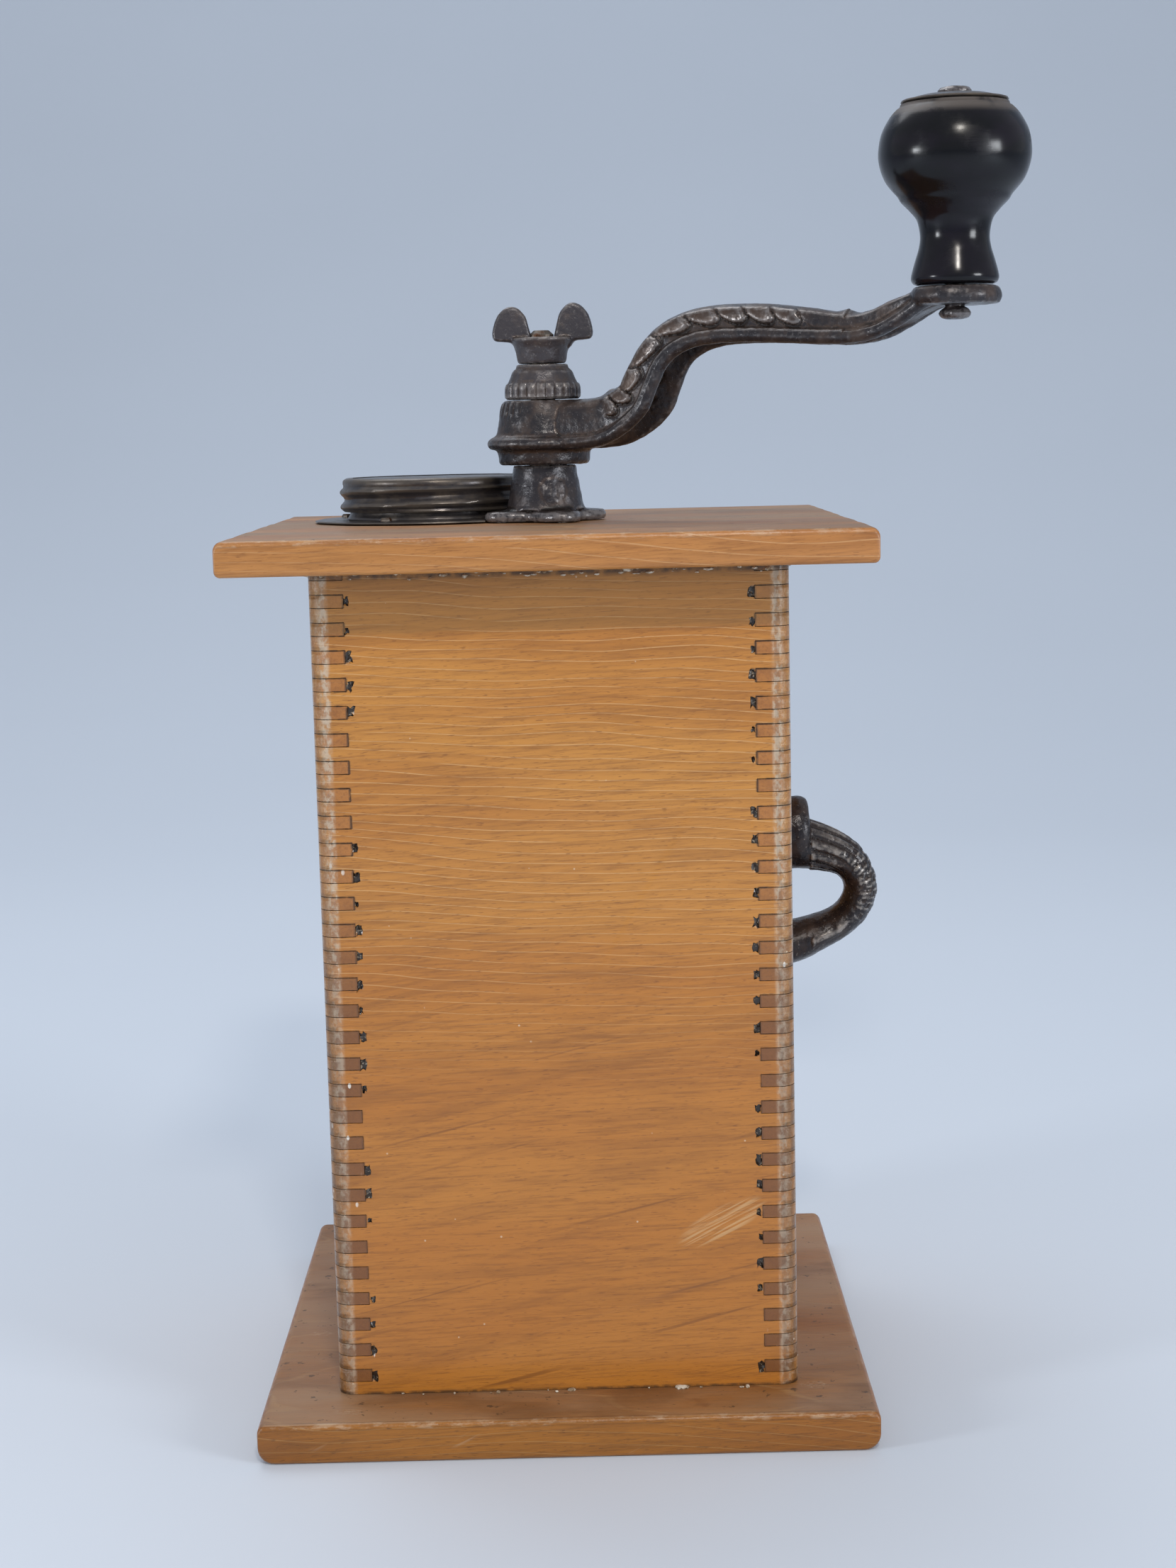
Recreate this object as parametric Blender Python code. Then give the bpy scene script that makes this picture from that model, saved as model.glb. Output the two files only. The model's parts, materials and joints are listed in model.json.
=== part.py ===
"""Hand crank box coffee mill: finger-jointed wooden case, cast iron crank, burr mill and drawer.

Lengths are in millimetres, and become metres where a mesh is made. The origin is under the middle of the base
board and +Z is up. The drawer opens towards +Y, the side handle is on +X and the bean filler is on -X.
Each sub-part is one closed mesh. Moving ones hang from an empty on their joint's axis.
"""
import math

import bmesh
import bpy
from mathutils import Matrix, Vector

MM = 0.001
GAP = 0.3  # clearance between neighbouring pieces

# Case
CASE_WIDTH = 127.0
WALL = 9.35
BASE_WIDTH = 167.5
BASE_TOP = 11.1
TOP_WIDTH = 169.5
TOP_LOW = 237.8
TOP_HIGH = 247.1
CASE_LOW = BASE_TOP + GAP
CASE_HIGH = TOP_LOW - GAP
INNER_HALF = CASE_WIDTH / 2 - WALL
WALL_MIDDLE = CASE_WIDTH / 2 - WALL / 2
FINGER_COUNT = 31
FINGER_HEIGHT = 3.5
FINGER_PITCH = 7.35
FIRST_FINGER = 2.1  # height of the top finger, which the case's top edge cuts short

# Inside the case
FLOOR_LOW = 97.7
FLOOR_HIGH = 107.2
DRAWER_HALF = 46.0
DRAWER_TOP = 79.6
DRAWER_SIDE_TOP = 62.0
DRAWER_WALL = 5.0
DRAWER_TAIL = -52.0
BURR_FLANGE_LOW = 91.4
BOLT_CIRCLE = 31.0

# Bean filler
CAP_CENTRE = Vector((-34.0, 25.0, 0.0))
CAP_RADIUS = 27.0
CAP_LOW = 250.5
CAP_HIGH = 260.2
NECK_RADIUS = 25.2
NECK_TOP = 257.9
FLANGE_RADIUS = 35.6
FILLER_HOLE = 19.5

# Crank
FOOT_LOW = TOP_HIGH + GAP
FOOT_HIGH = 250.1
POST_TOP = 263.0
HUB_TOP = 281.4
SPINDLE_RADIUS = 4.7
THREAD_RADIUS = 3.5
MILL_AXIS = Vector((-1.0, 0.0, 0.0))
CRANK_TURN = math.radians(-25.0)
CRANK_REACH = 121.1
PAD_LOW = 303.3
PAD_HIGH = 308.0
FOOT_TURN = math.radians(20.0)  # first of the bearing foot's four lobes
FOOT_SCREW_CIRCLE = 13.6
LOBE_MIDDLE = 14.6
LOBE_DEPTH = 3.4

# Side handle screws, heights above the table
HANDLE_UPPER = 152.5
HANDLE_LOWER = 120.3

UP = Matrix.Identity(4)
TIP_UP = Matrix.Rotation(math.pi, 4, "X")
TIP_PLUS_X = Matrix.Rotation(-math.pi / 2, 4, "Y")
TIP_PLUS_Y = Matrix.Rotation(math.pi / 2, 4, "X")

SURFACES = {
    "varnished_wood": ((0.47, 0.19, 0.05), 0.35, 0.0),
    "bare_wood": ((0.55, 0.36, 0.18), 0.7, 0.0),
    "cast_iron": ((0.05, 0.04, 0.035), 0.45, 0.9),
    "sheet_iron": ((0.06, 0.05, 0.045), 0.4, 0.9),
    "steel": ((0.3, 0.28, 0.26), 0.4, 1.0),
    "black_lacquer": ((0.01, 0.01, 0.012), 0.15, 0.0),
    "cork": ((0.5, 0.33, 0.2), 0.9, 0.0),
}

materials = {}
objects = {}
holes = {}


# Making meshes


def make_materials():
    for name, (colour, roughness, metallic) in SURFACES.items():
        material = bpy.data.materials.new(name)
        material.use_nodes = True
        shader = material.node_tree.nodes["Principled BSDF"]
        shader.inputs["Base Color"].default_value = (*colour, 1.0)
        shader.inputs["Roughness"].default_value = roughness
        shader.inputs["Metallic"].default_value = metallic
        materials[name] = material


def join_rings(bm, rings, closed):
    """Faces between neighbouring rings of vertices; a ring of one vertex is a point on the axis."""
    pairs = list(zip(rings, rings[1:]))
    if closed:
        pairs.append((rings[-1], rings[0]))
    for lower, upper in pairs:
        count = max(len(lower), len(upper))
        for i in range(count):
            j = (i + 1) % count
            corners = [lower[i % len(lower)], lower[j % len(lower)], upper[j % len(upper)], upper[i % len(upper)]]
            bm.faces.new(list(dict.fromkeys(corners)))
    bmesh.ops.recalc_face_normals(bm, faces=bm.faces)


def turned(profile, steps=24, lobes=0, phase=0.0, twist=0.0):
    """A solid turned about Z from (radius, height) points.

    A third number on a point is the depth of the ripple that the lobes give its ring, and twist turns the
    lobes by that many radians per millimetre of height. A profile clear of the axis closes into a ring.
    """
    bm = bmesh.new()
    rings = []
    for radius, height, *ripple in profile:
        if radius == 0:
            rings.append([bm.verts.new((0.0, 0.0, height * MM))])
            continue
        ring = []
        for step in range(steps):
            angle = 2 * math.pi * step / steps
            reach = radius
            if ripple:
                reach += ripple[0] * math.cos(lobes * (angle - phase) + twist * height)
            ring.append(bm.verts.new(Vector((reach * math.cos(angle), reach * math.sin(angle), height)) * MM))
        rings.append(ring)
    join_rings(bm, rings, closed=profile[0][0] > 0)
    return bm


def loft(sections):
    """A closed solid through sections of equally many points, with flat ends."""
    bm = bmesh.new()
    rings = [[bm.verts.new(Vector(point) * MM) for point in section] for section in sections]
    bm.faces.new(rings[0])
    bm.faces.new(rings[-1])
    join_rings(bm, rings, closed=False)
    return bm


def prism(outline, low, high, axis="Z"):
    """An outline extruded from low to high along an axis."""
    order = {"X": lambda a, b, h: (h, a, b), "Y": lambda a, b, h: (a, h, b), "Z": lambda a, b, h: (a, b, h)}[axis]
    return loft([[order(a, b, height) for a, b in outline] for height in (low, high)])


def block(low, high, bevel=0.0):
    """A box between two corners, with its edges bevelled."""
    outline = [(low[0], low[1]), (high[0], low[1]), (high[0], high[1]), (low[0], high[1])]
    bm = prism(outline, low[2], high[2])
    if bevel:
        bmesh.ops.bevel(bm, geom=bm.edges[:], offset=bevel * MM, segments=1, affect="EDGES", clamp_overlap=True)
    return bm


def rod(radius, low, high, steps=12):
    return turned([(0, low), (radius, low), (radius, high), (0, high)], steps)


def placed(bm, at, turn=UP):
    bmesh.ops.transform(bm, matrix=Matrix.Translation(Vector(at) * MM) @ turn, verts=bm.verts)
    return bm


def gathered(pieces):
    """Several closed shapes in one bmesh, to cut with at once."""
    whole = bmesh.new()
    for piece in pieces:
        mesh = bpy.data.meshes.new("piece")
        piece.to_mesh(mesh)
        piece.free()
        whole.from_mesh(mesh)
        bpy.data.meshes.remove(mesh)
    return whole


# Making objects


def new_object(name, bm, surface, parent=None, at=(0, 0, 0), turn=UP, smooth=True):
    mesh = bpy.data.meshes.new(name)
    bm.to_mesh(mesh)
    bm.free()
    if smooth:
        mesh.shade_smooth()
        mesh.set_sharp_from_angle(angle=math.radians(35))
    mesh.materials.append(materials[surface])
    thing = bpy.data.objects.new(name, mesh)
    bpy.context.scene.collection.objects.link(thing)
    thing.matrix_local = Matrix.Translation(Vector(at) * MM) @ turn
    thing.parent = parent
    return thing


def add(name, bm, surface, parent=None, at=(0, 0, 0), turn=UP, smooth=True):
    """A sub-part of the mill."""
    objects[name] = new_object(name, bm, surface, parent, at, turn, smooth)
    return objects[name]


def add_axis(name, at, turn=0.0, parent=None):
    """An empty on a joint's axis."""
    axis = bpy.data.objects.new(name, None)
    bpy.context.scene.collection.objects.link(axis)
    axis.empty_display_size = 20 * MM
    axis.location = Vector(at) * MM
    axis.rotation_euler = (0.0, 0.0, turn)
    axis.parent = parent
    return axis


def combine(target, bm, operation):
    """A Boolean on the target with a hidden shape, which shares the target's parent."""
    helper = new_object(f"{target.name}_{operation.lower()}", bm, "bare_wood", parent=target.parent)
    helper.hide_render = True
    helper.display_type = "WIRE"
    modifier = target.modifiers.new(operation.title(), "BOOLEAN")
    modifier.operation = operation
    modifier.solver = "EXACT"
    modifier.object = helper


def fasten(name, profile, at, turn, through, steps=8):
    """A turned fastener whose head is at the profile's start, and the holes it needs."""
    add(name, turned(profile, steps), "steel", at=at, turn=turn)
    widened = [(radius + GAP, height) for radius, height in profile[1:-1]]
    mouth = profile[0][1] + 2.0
    hole = [(0, mouth), (profile[1][0] + GAP, mouth), *widened, (0, profile[-1][1] - GAP)]
    for target in through:
        holes.setdefault(target, []).append(placed(turned(hole, steps), at, turn))


def cut_holes():
    for name, shapes in holes.items():
        combine(objects[name], gathered(shapes), "DIFFERENCE")


# Fasteners, from the top of the head down to the tip


def countersunk_screw(head, shank, length):
    return [(0, 0), (head, 0), (head, -0.5), (shank, -0.5 - (head - shank)), (shank, -length + 2.0), (0, -length)]


def pan_screw(head, head_height, shank, length):
    return [(0, 0), (head * 0.7, 0), (head, -head_height * 0.5), (head, -head_height), (shank, -head_height),
            (shank, -length + 0.6), (0, -length)]


# Case


def finger_edge(within, beyond, slack):
    """Points up one finger-jointed edge: half width `within` beside each finger, and `beyond` elsewhere."""
    points = [(beyond, CASE_LOW)]
    for finger in reversed(range(FINGER_COUNT)):
        low = CASE_HIGH - FIRST_FINGER - finger * FINGER_PITCH - slack
        points += [(beyond, low), (within, low)]
        if finger == 0:
            points.append((within, CASE_HIGH))
        else:
            high = low + FINGER_HEIGHT + 2 * slack
            points += [(within, high), (beyond, high)]
    return points


def cut_level(edge, low, high):
    """The part of a finger-jointed edge between two heights, with its ends cut level."""
    foot = [x for x, z in edge if z <= low][-1]
    head = [x for x, z in edge if z < high][-1]
    return [(foot, low)] + [(x, z) for x, z in edge if low < z < high] + [(head, high)]


def case_wall(name, outline, turn):
    """A piece of case board with its outer face at -Y, turned about Z to its side of the case."""
    bm = prism(outline, -CASE_WIDTH / 2, -CASE_WIDTH / 2 + WALL, axis="Y")
    add(name, bm, "varnished_wood", turn=Matrix.Rotation(turn, 4, "Z"), smooth=False)


def make_case_walls():
    """The two side boards have their fingers out at the corners; the back and the front fill between them."""
    full = CASE_WIDTH / 2
    notch = INNER_HALF - GAP
    fingers = finger_edge(full, notch, -GAP / 2)
    sockets = finger_edge(notch, full, GAP / 2)
    for name, edge, turn in (("back_board", sockets, 0.0), ("handle_side_board", fingers, math.pi / 2),
                             ("filler_side_board", fingers, -math.pi / 2)):
        case_wall(name, edge + [(-x, z) for x, z in reversed(edge)], turn)

    # The front is a board above the drawer and a narrow stile at each side of it
    edge = cut_level(sockets, DRAWER_TOP + GAP, CASE_HIGH)
    case_wall("front_board", edge + [(-x, z) for x, z in reversed(edge)], math.pi)
    inner = DRAWER_HALF + GAP
    stile = [(inner, CASE_LOW), *cut_level(sockets, CASE_LOW, DRAWER_TOP), (inner, DRAWER_TOP)]
    case_wall("front_stile_left", stile, math.pi)
    case_wall("front_stile_right", [(-x, z) for x, z in reversed(stile)], math.pi)


def nosed_outline(half, low, high, lower_radius, upper_radius, segments=3):
    """A board's end view, with rounded lower and upper arrises on both sides."""
    points = []
    corners = ((half, low, lower_radius, -90), (half, high, upper_radius, 0),
               (-half, high, upper_radius, 90), (-half, low, lower_radius, 180))
    for x, z, radius, start in corners:
        centre_x = x - math.copysign(radius, x)
        centre_z = z + radius if z == low else z - radius
        for step in range(segments + 1):
            angle = math.radians(start + 90 * step / segments)
            points.append((centre_x + radius * math.cos(angle), centre_z + radius * math.sin(angle)))
    return points


def make_case():
    base_half = BASE_WIDTH / 2
    top_half = TOP_WIDTH / 2
    base = prism(nosed_outline(base_half, 0, BASE_TOP, 4.5, 2.5), -base_half, base_half, axis="Y")
    add("base_board", base, "varnished_wood")
    top = prism(nosed_outline(top_half, TOP_LOW, TOP_HIGH, 1.5, 2.5), -top_half, top_half, axis="Y")
    add("top_board", top, "varnished_wood")
    make_case_walls()
    holes["top_board"] = [
        placed(rod(FILLER_HOLE, TOP_LOW - 1, TOP_HIGH + 1, 28), CAP_CENTRE),
        placed(rod(6.5, TOP_LOW - 1, TOP_HIGH + 1, 16), MILL_AXIS),
    ]


def make_case_fasteners():
    screw = countersunk_screw(4.0, 1.9, 26.0)
    nail = [(0, 0), (1.6, 0), (1.6, -0.8), (0.9, -0.8), (0.9, -26.0), (0, -28.0)]
    corners = [(x, y) for x in (-1, 1) for y in (-1, 1)]
    for number, (x, y) in enumerate(corners, 1):
        side = "handle_side_board" if x > 0 else "filler_side_board"
        fasten(f"base_screw_{number}", screw, (x * WALL_MIDDLE, y * 35, 0.4), TIP_UP, ("base_board", side))
        end = "front_board" if y > 0 else "back_board"
        at = (x * 52, y * WALL_MIDDLE, TOP_HIGH - 0.3)
        fasten(f"top_nail_{number}", nail, at, UP, ("top_board", end))


def make_inside():
    edge = INNER_HALF - GAP
    add("hopper_floor", block((-edge, -edge, FLOOR_LOW), (edge, edge, FLOOR_HIGH)), "bare_wood", smooth=False)
    holes["hopper_floor"] = [placed(rod(22.4, FLOOR_LOW - 1, FLOOR_HIGH + 1, 28), MILL_AXIS)]
    for side, sign in (("left", -1), ("right", 1)):
        inner, outer = sorted((sign * 44.5, sign * edge))
        cleat = block((inner, -edge, 87.0), (outer, edge, FLOOR_LOW - GAP))
        add(f"floor_cleat_{side}", cleat, "bare_wood", smooth=False)
        inner, outer = sorted((sign * (DRAWER_HALF + 2 * GAP), sign * edge))
        guide = block((inner, -edge, CASE_LOW), (outer, edge, 24.0))
        add(f"drawer_guide_{side}", guide, "bare_wood", smooth=False)


# Side handle


def handle_sections():
    """Sections along the cast D grip: (outward, height, half depth, half breadth) of the middle line."""
    middle = (
        (2.0, 152.3, 8.4, 8.4), (10.0, 152.2, 8.2, 8.0), (16.0, 150.6, 6.9, 7.6), (21.2, 147.6, 5.6, 7.2),
        (24.2, 142.9, 4.9, 7.0), (25.0, 137.2, 4.8, 7.0), (22.9, 131.2, 4.9, 7.2), (18.2, 126.8, 5.2, 7.6),
        (12.5, 124.0, 6.0, 8.0), (6.0, 121.8, 6.8, 8.4), (2.0, 121.4, 7.2, 8.6),
    )
    face = CASE_WIDTH / 2
    count = 10
    sections = []
    for i, (out, height, depth, breadth) in enumerate(middle):
        before = middle[max(i - 1, 0)]
        after = middle[min(i + 1, len(middle) - 1)]
        along = Vector((after[0] - before[0], 0.0, after[1] - before[1])).normalized()
        across = Vector((along.z, 0.0, -along.x))
        section = []
        for step in range(count):
            angle = 2 * math.pi * step / count
            point = Vector((face + out, 0.0, height))
            point += across * depth * math.cos(angle)
            point.y += breadth * math.sin(angle)
            section.append(point)
        sections.append(section)
    return sections


def handle_pad(height, half_height, half_breadth, thickness):
    """A domed oval boss on the case wall."""
    pad = turned([(0, 0), (1.0, 0), (1.0, 0.45), (0.88, 0.8), (0.55, 1.0), (0, 1.0)], 20)
    size = Matrix.Diagonal((half_height, half_breadth, thickness, 1.0))
    turn = Matrix.Rotation(math.pi / 2, 4, "Y")
    bmesh.ops.transform(pad, matrix=size, verts=pad.verts)
    return placed(pad, (CASE_WIDTH / 2 + GAP, 0, height), turn)


def make_side_handle():
    handle = add("side_handle", handle_pad(155.6, 10.2, 9.6, 9.6), "cast_iron")
    combine(handle, loft(handle_sections()), "UNION")
    combine(handle, handle_pad(119.8, 8.6, 9.4, 4.2), "UNION")
    screw = pan_screw(4.0, 2.4, 2.0, 19.0)
    for name, height in (("upper", HANDLE_UPPER), ("lower", HANDLE_LOWER)):
        at = (INNER_HALF - GAP - 2.4, 0, height)
        fasten(f"handle_screw_{name}", screw, at, TIP_PLUS_X, ("handle_side_board", "side_handle"))


# Bean filler


def make_filler():
    neck = [
        (NECK_RADIUS - 1, FOOT_LOW), (FLANGE_RADIUS, FOOT_LOW), (FLANGE_RADIUS, FOOT_LOW + 0.5),
        (NECK_RADIUS, FOOT_LOW + 0.5), (NECK_RADIUS, 250.9), (NECK_RADIUS + 0.5, 252.0), (NECK_RADIUS, 253.1),
        (NECK_RADIUS, NECK_TOP), (NECK_RADIUS - 1, NECK_TOP),
    ]
    add("filler_neck", placed(turned(neck, 28), CAP_CENTRE), "sheet_iron")
    notch = [(0, FOOT_LOW - 1), (LOBE_MIDDLE + 0.6, FOOT_LOW - 1, LOBE_DEPTH),
             (LOBE_MIDDLE + 0.6, FOOT_LOW + 1.4, LOBE_DEPTH), (0, FOOT_LOW + 1.4)]
    holes["filler_neck"] = [placed(turned(notch, 32, lobes=4, phase=FOOT_TURN), MILL_AXIS)]
    nail = [(0, 0), (1.3, 0), (1.7, -0.5), (1.7, -1.0), (0.8, -1.0), (0.8, -8.0), (0, -9.4)]
    for number, angle in enumerate((245, 155, 65), 1):
        reach = Vector((math.cos(math.radians(angle)), math.sin(math.radians(angle)), 0)) * 30.3
        at = CAP_CENTRE + reach + Vector((0, 0, FOOT_LOW + 0.5 + GAP + 1.0))
        fasten(f"filler_neck_nail_{number}", nail, at, UP, ("top_board", "filler_neck"))

    cap_axis = add_axis("cap_axis", CAP_CENTRE)
    inside = CAP_HIGH - 1.0
    cap = [
        (0, inside), (CAP_RADIUS - 1, inside), (CAP_RADIUS - 1, CAP_LOW), (CAP_RADIUS + 0.4, CAP_LOW),
        (CAP_RADIUS + 1.1, 251.9), (CAP_RADIUS, 254.1), (CAP_RADIUS + 1.1, 256.2), (CAP_RADIUS, 258.3),
        (CAP_RADIUS, 259.2), (CAP_RADIUS - 1.4, CAP_HIGH), (0, CAP_HIGH),
    ]
    add("screw_cap", turned(cap, 28), "sheet_iron", cap_axis)
    liner = rod(NECK_RADIUS + 0.2, NECK_TOP + GAP, inside - GAP, 20)
    add("cap_liner", liner, "cork", cap_axis)


# Bearing post, spindle and crank


def make_post():
    bore = SPINDLE_RADIUS + 0.4
    post = [
        (bore, FOOT_LOW), (LOBE_MIDDLE, FOOT_LOW, LOBE_DEPTH), (LOBE_MIDDLE, FOOT_HIGH, LOBE_DEPTH),
        (11.2, FOOT_HIGH + 0.5), (10.1, 256.5), (9.0, POST_TOP), (bore, POST_TOP),
    ]
    add("bearing_post", turned(post, 32, lobes=4, phase=FOOT_TURN), "cast_iron", at=MILL_AXIS)
    screw = countersunk_screw(3.0, 1.5, 14.0)
    for number in range(4):
        angle = FOOT_TURN + number * math.pi / 2
        reach = Vector((math.cos(angle), math.sin(angle), 0.0)) * FOOT_SCREW_CIRCLE
        at = MILL_AXIS + reach + Vector((0.0, 0.0, FOOT_HIGH - 0.1))
        fasten(f"post_screw_{number + 1}", screw, at, UP, ("bearing_post", "top_board"))


def spindle_ring(height, radius, square=0.0):
    """A round section, or a square one of that half width with its corners turned down."""
    count = 16
    ring = []
    for step in range(count):
        angle = 2 * math.pi * step / count
        reach = radius
        if square:
            reach = min(square / max(abs(math.cos(angle)), abs(math.sin(angle))), radius)
        ring.append((reach * math.cos(angle), reach * math.sin(angle), height))
    return ring


def make_spindle(crank_axis):
    rings = [
        spindle_ring(67.5, SPINDLE_RADIUS),
        spindle_ring(262.0, SPINDLE_RADIUS),
        spindle_ring(262.4, 4.3, square=3.1),
        spindle_ring(280.2, 4.3, square=3.1),
        spindle_ring(280.6, THREAD_RADIUS),
        spindle_ring(299.8, THREAD_RADIUS),
        spindle_ring(301.0, 2.2),
    ]
    add("spindle", loft(rings), "steel", crank_axis)
    collar = [(5.0, 203.4), (9.5, 203.4), (9.5, 206.6), (9.0, 207.2), (5.0, 207.2)]
    add("spring_collar", turned(collar, 16), "steel", crank_axis)
    add("spindle_spring", spring(7.2, 0.8, 208.3, 236.7, turns=5), "steel", at=MILL_AXIS)


def spring(radius, wire, low, high, turns):
    """A round-wire coil about Z."""
    around = 10
    sides = 5
    rings = []
    for step in range(turns * around + 1):
        angle = 2 * math.pi * step / around
        outward = Vector((math.cos(angle), math.sin(angle), 0.0))
        middle = outward * radius + Vector((0, 0, low + (high - low) * step / (turns * around)))
        ring = []
        for side in range(sides):
            roll = 2 * math.pi * side / sides
            ring.append(middle + outward * wire * math.cos(roll) + Vector((0, 0, wire * math.sin(roll))))
        rings.append(ring)
    return loft(rings)


# Crank arm: distance from the spindle, height of the lower rims, breadth, depth and how far it is hollowed
ARM = (
    (2, 269.3, 24.0, 12.2, 0.0), (14, 269.3, 23.0, 12.2, 0.0), (22, 270.2, 22.0, 12.2, 0.3),
    (29, 273.4, 22.0, 11.6, 0.9), (34.6, 278.4, 22.0, 10.6, 1.0), (37.3, 284.2, 21.5, 10.2, 1.0),
    (40.3, 290.3, 20.5, 9.4, 1.0), (45, 294.4, 19.5, 9.0, 1.0), (53, 296.8, 18.5, 8.6, 1.0),
    (66, 297.1, 17.0, 8.4, 1.0), (80, 296.3, 15.5, 7.6, 1.0), (92, 295.8, 14.0, 6.2, 0.9),
    (100, 296.8, 13.3, 6.2, 0.6), (107, 299.8, 14.0, 6.0, 0.2), (113, 303.4, 16.0, 4.2, 0.0),
    (119, 305.8, 16.0, 1.8, 0.0),
)
BEAD = 1.7  # half thickness of the rolled lower rims
ARM_SHELL = 3.4
ARM_STATIONS = 21


def along_arm(t):
    """The arm's row at t from 0 to 1, on a smooth curve through the rows of ARM."""
    place = t * (len(ARM) - 1)
    i = min(int(place), len(ARM) - 2)
    u = place - i
    rows = [ARM[min(max(k, 0), len(ARM) - 1)] for k in range(i - 1, i + 3)]
    weights = (
        (-u + 2 * u * u - u**3) / 2,
        (2 - 5 * u * u + 3 * u**3) / 2,
        (u + 4 * u * u - 3 * u**3) / 2,
        (-u * u + u**3) / 2,
    )
    return [sum(w * row[k] for w, row in zip(weights, rows)) for k in range(5)]


def arm_section(t):
    """An arched section with beaded lower rims, square to the arm's line in the XZ plane."""
    out, height, breadth, depth, hollow = along_arm(t)
    before = along_arm(max(t - 0.01, 0.0))
    after = along_arm(min(t + 0.01, 1.0))
    along = Vector((after[0] - before[0], 0.0, after[1] - before[1])).normalized()
    upward = Vector((-along.z, 0.0, along.x))
    half = breadth / 2
    roof = -BEAD + hollow * (depth - ARM_SHELL + BEAD)
    outer = [
        (half - 1.2, -BEAD), (half + 0.1, 0.0), (half - 1.0, BEAD), (half - 1.7, depth * 0.45),
        (breadth * 0.31, depth * 0.84), (0.0, depth),
    ]
    inner = [(half - 3.6, -BEAD), (breadth * 0.22, -BEAD + 0.8 * (roof + BEAD))]
    right = outer[:-1]
    left = [(-y, v) for y, v in reversed(right)]
    under = [(-y, v) for y, v in inner] + [(0.0, roof)] + list(reversed(inner))
    middle = Vector((out, 0.0, height))
    return [middle + Vector((0.0, y, 0.0)) + upward * v for y, v in right + [outer[-1]] + left + under]


def make_crank_arm(crank_axis):
    hub = [
        (0, POST_TOP + GAP), (12.8, POST_TOP + GAP), (13.3, 267.4), (15.6, 268.1), (16.2, 269.3), (15.6, 270.7),
        (13.8, 271.9), (12.4, 276.5), (11.3, HUB_TOP), (0, HUB_TOP),
    ]
    pad = [(0, PAD_LOW), (10.7, PAD_LOW), (11.7, 304.6), (11.7, 306.8), (10.8, PAD_HIGH), (0, PAD_HIGH)]
    crank = add("crank_arm", turned(hub, 24), "cast_iron", crank_axis)
    combine(crank, loft([arm_section(i / (ARM_STATIONS - 1)) for i in range(ARM_STATIONS)]), "UNION")
    combine(crank, placed(turned(pad, 20), (CRANK_REACH, 0, 0)), "UNION")
    square = 3.5
    socket = block((-square, -square, POST_TOP - 1), (square, square, HUB_TOP + 2))
    bolt_hole = placed(rod(2.9, PAD_LOW - 8, PAD_HIGH + 2, 14), (CRANK_REACH, 0, 0))
    combine(crank, gathered([socket, bolt_hole]), "DIFFERENCE")


def make_collar(crank_axis):
    bore = THREAD_RADIUS + 0.4
    low = HUB_TOP + GAP
    flute = 0.35
    collar = [
        (bore, low), (10.5, low, flute), (10.6, 285.2, flute), (9.7, 286.2), (8.7, 289.3), (7.6, 290.6),
        (6.8, 291.5), (bore, 291.5),
    ]
    add("adjusting_collar", turned(collar, 36, lobes=18), "cast_iron", crank_axis)


def make_wing_nut(crank_axis):
    bore = THREAD_RADIUS + 0.4
    cone = [(bore, 291.8), (7.0, 291.8), (7.0, 292.6), (7.8, 296.4), (8.9, 298.6), (bore, 298.6)]
    ear = (
        (4.6, 297.0), (4.4, 299.6), (5.2, 304.6), (6.7, 307.3), (9.2, 308.4), (11.8, 307.6), (13.6, 305.0),
        (14.2, 300.8), (13.4, 298.8), (10.4, 298.2), (8.2, 296.6),
    )
    turn = Matrix.Rotation(-CRANK_TURN, 4, "Z")
    nut = add("wing_nut", turned(cone, 20), "cast_iron", crank_axis, turn=turn)
    for sign in (-1, 1):
        outline = [(sign * x, z) for x, z in ear]
        wing = prism(outline, -1.9, 1.9, axis="Y")
        rims = [edge for edge in wing.edges if abs(edge.verts[0].co.y - edge.verts[1].co.y) < 1e-6]
        bmesh.ops.bevel(wing, geom=rims, offset=0.6 * MM, segments=1, affect="EDGES")
        bmesh.ops.transform(wing, matrix=turn, verts=wing.verts)
        combine(nut, wing, "UNION")


def make_knob(crank_axis):
    knob_axis = add_axis("knob_axis", (CRANK_REACH, 0, 0), parent=crank_axis)
    bore = 2.9
    low = PAD_HIGH + 0.4
    knob = [
        (bore, low), (10.4, low), (11.5, 309.8), (10.8, 313.2), (9.4, 317.6), (9.0, 321.3), (9.9, 325.2),
        (13.5, 329.4), (14.6, 331.2), (17.9, 335.0), (19.6, 339.0), (19.9, 342.7), (19.0, 347.4), (16.9, 351.6),
        (13.8, 354.7), (bore, 354.7),
    ]
    add("crank_knob", turned(knob, 22), "black_lacquer", knob_axis)
    washer = [(bore, 355.0), (13.3, 355.0), (13.4, 355.6), (9.5, 356.6), (4.8, 357.1), (bore, 357.1)]
    add("knob_washer", turned(washer, 18), "sheet_iron", knob_axis)
    bolt = [
        (0, 299.5), (2.4, 299.6), (3.7, 300.8), (3.4, 302.4), (2.6, 303.0), (2.6, 357.4), (4.35, 357.4),
        (4.35, 358.3), (3.0, 358.9), (0, 359.0),
    ]
    add("knob_bolt", turned(bolt, 12), "steel", crank_axis, at=(CRANK_REACH, 0, 0))


# Burrs


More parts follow.
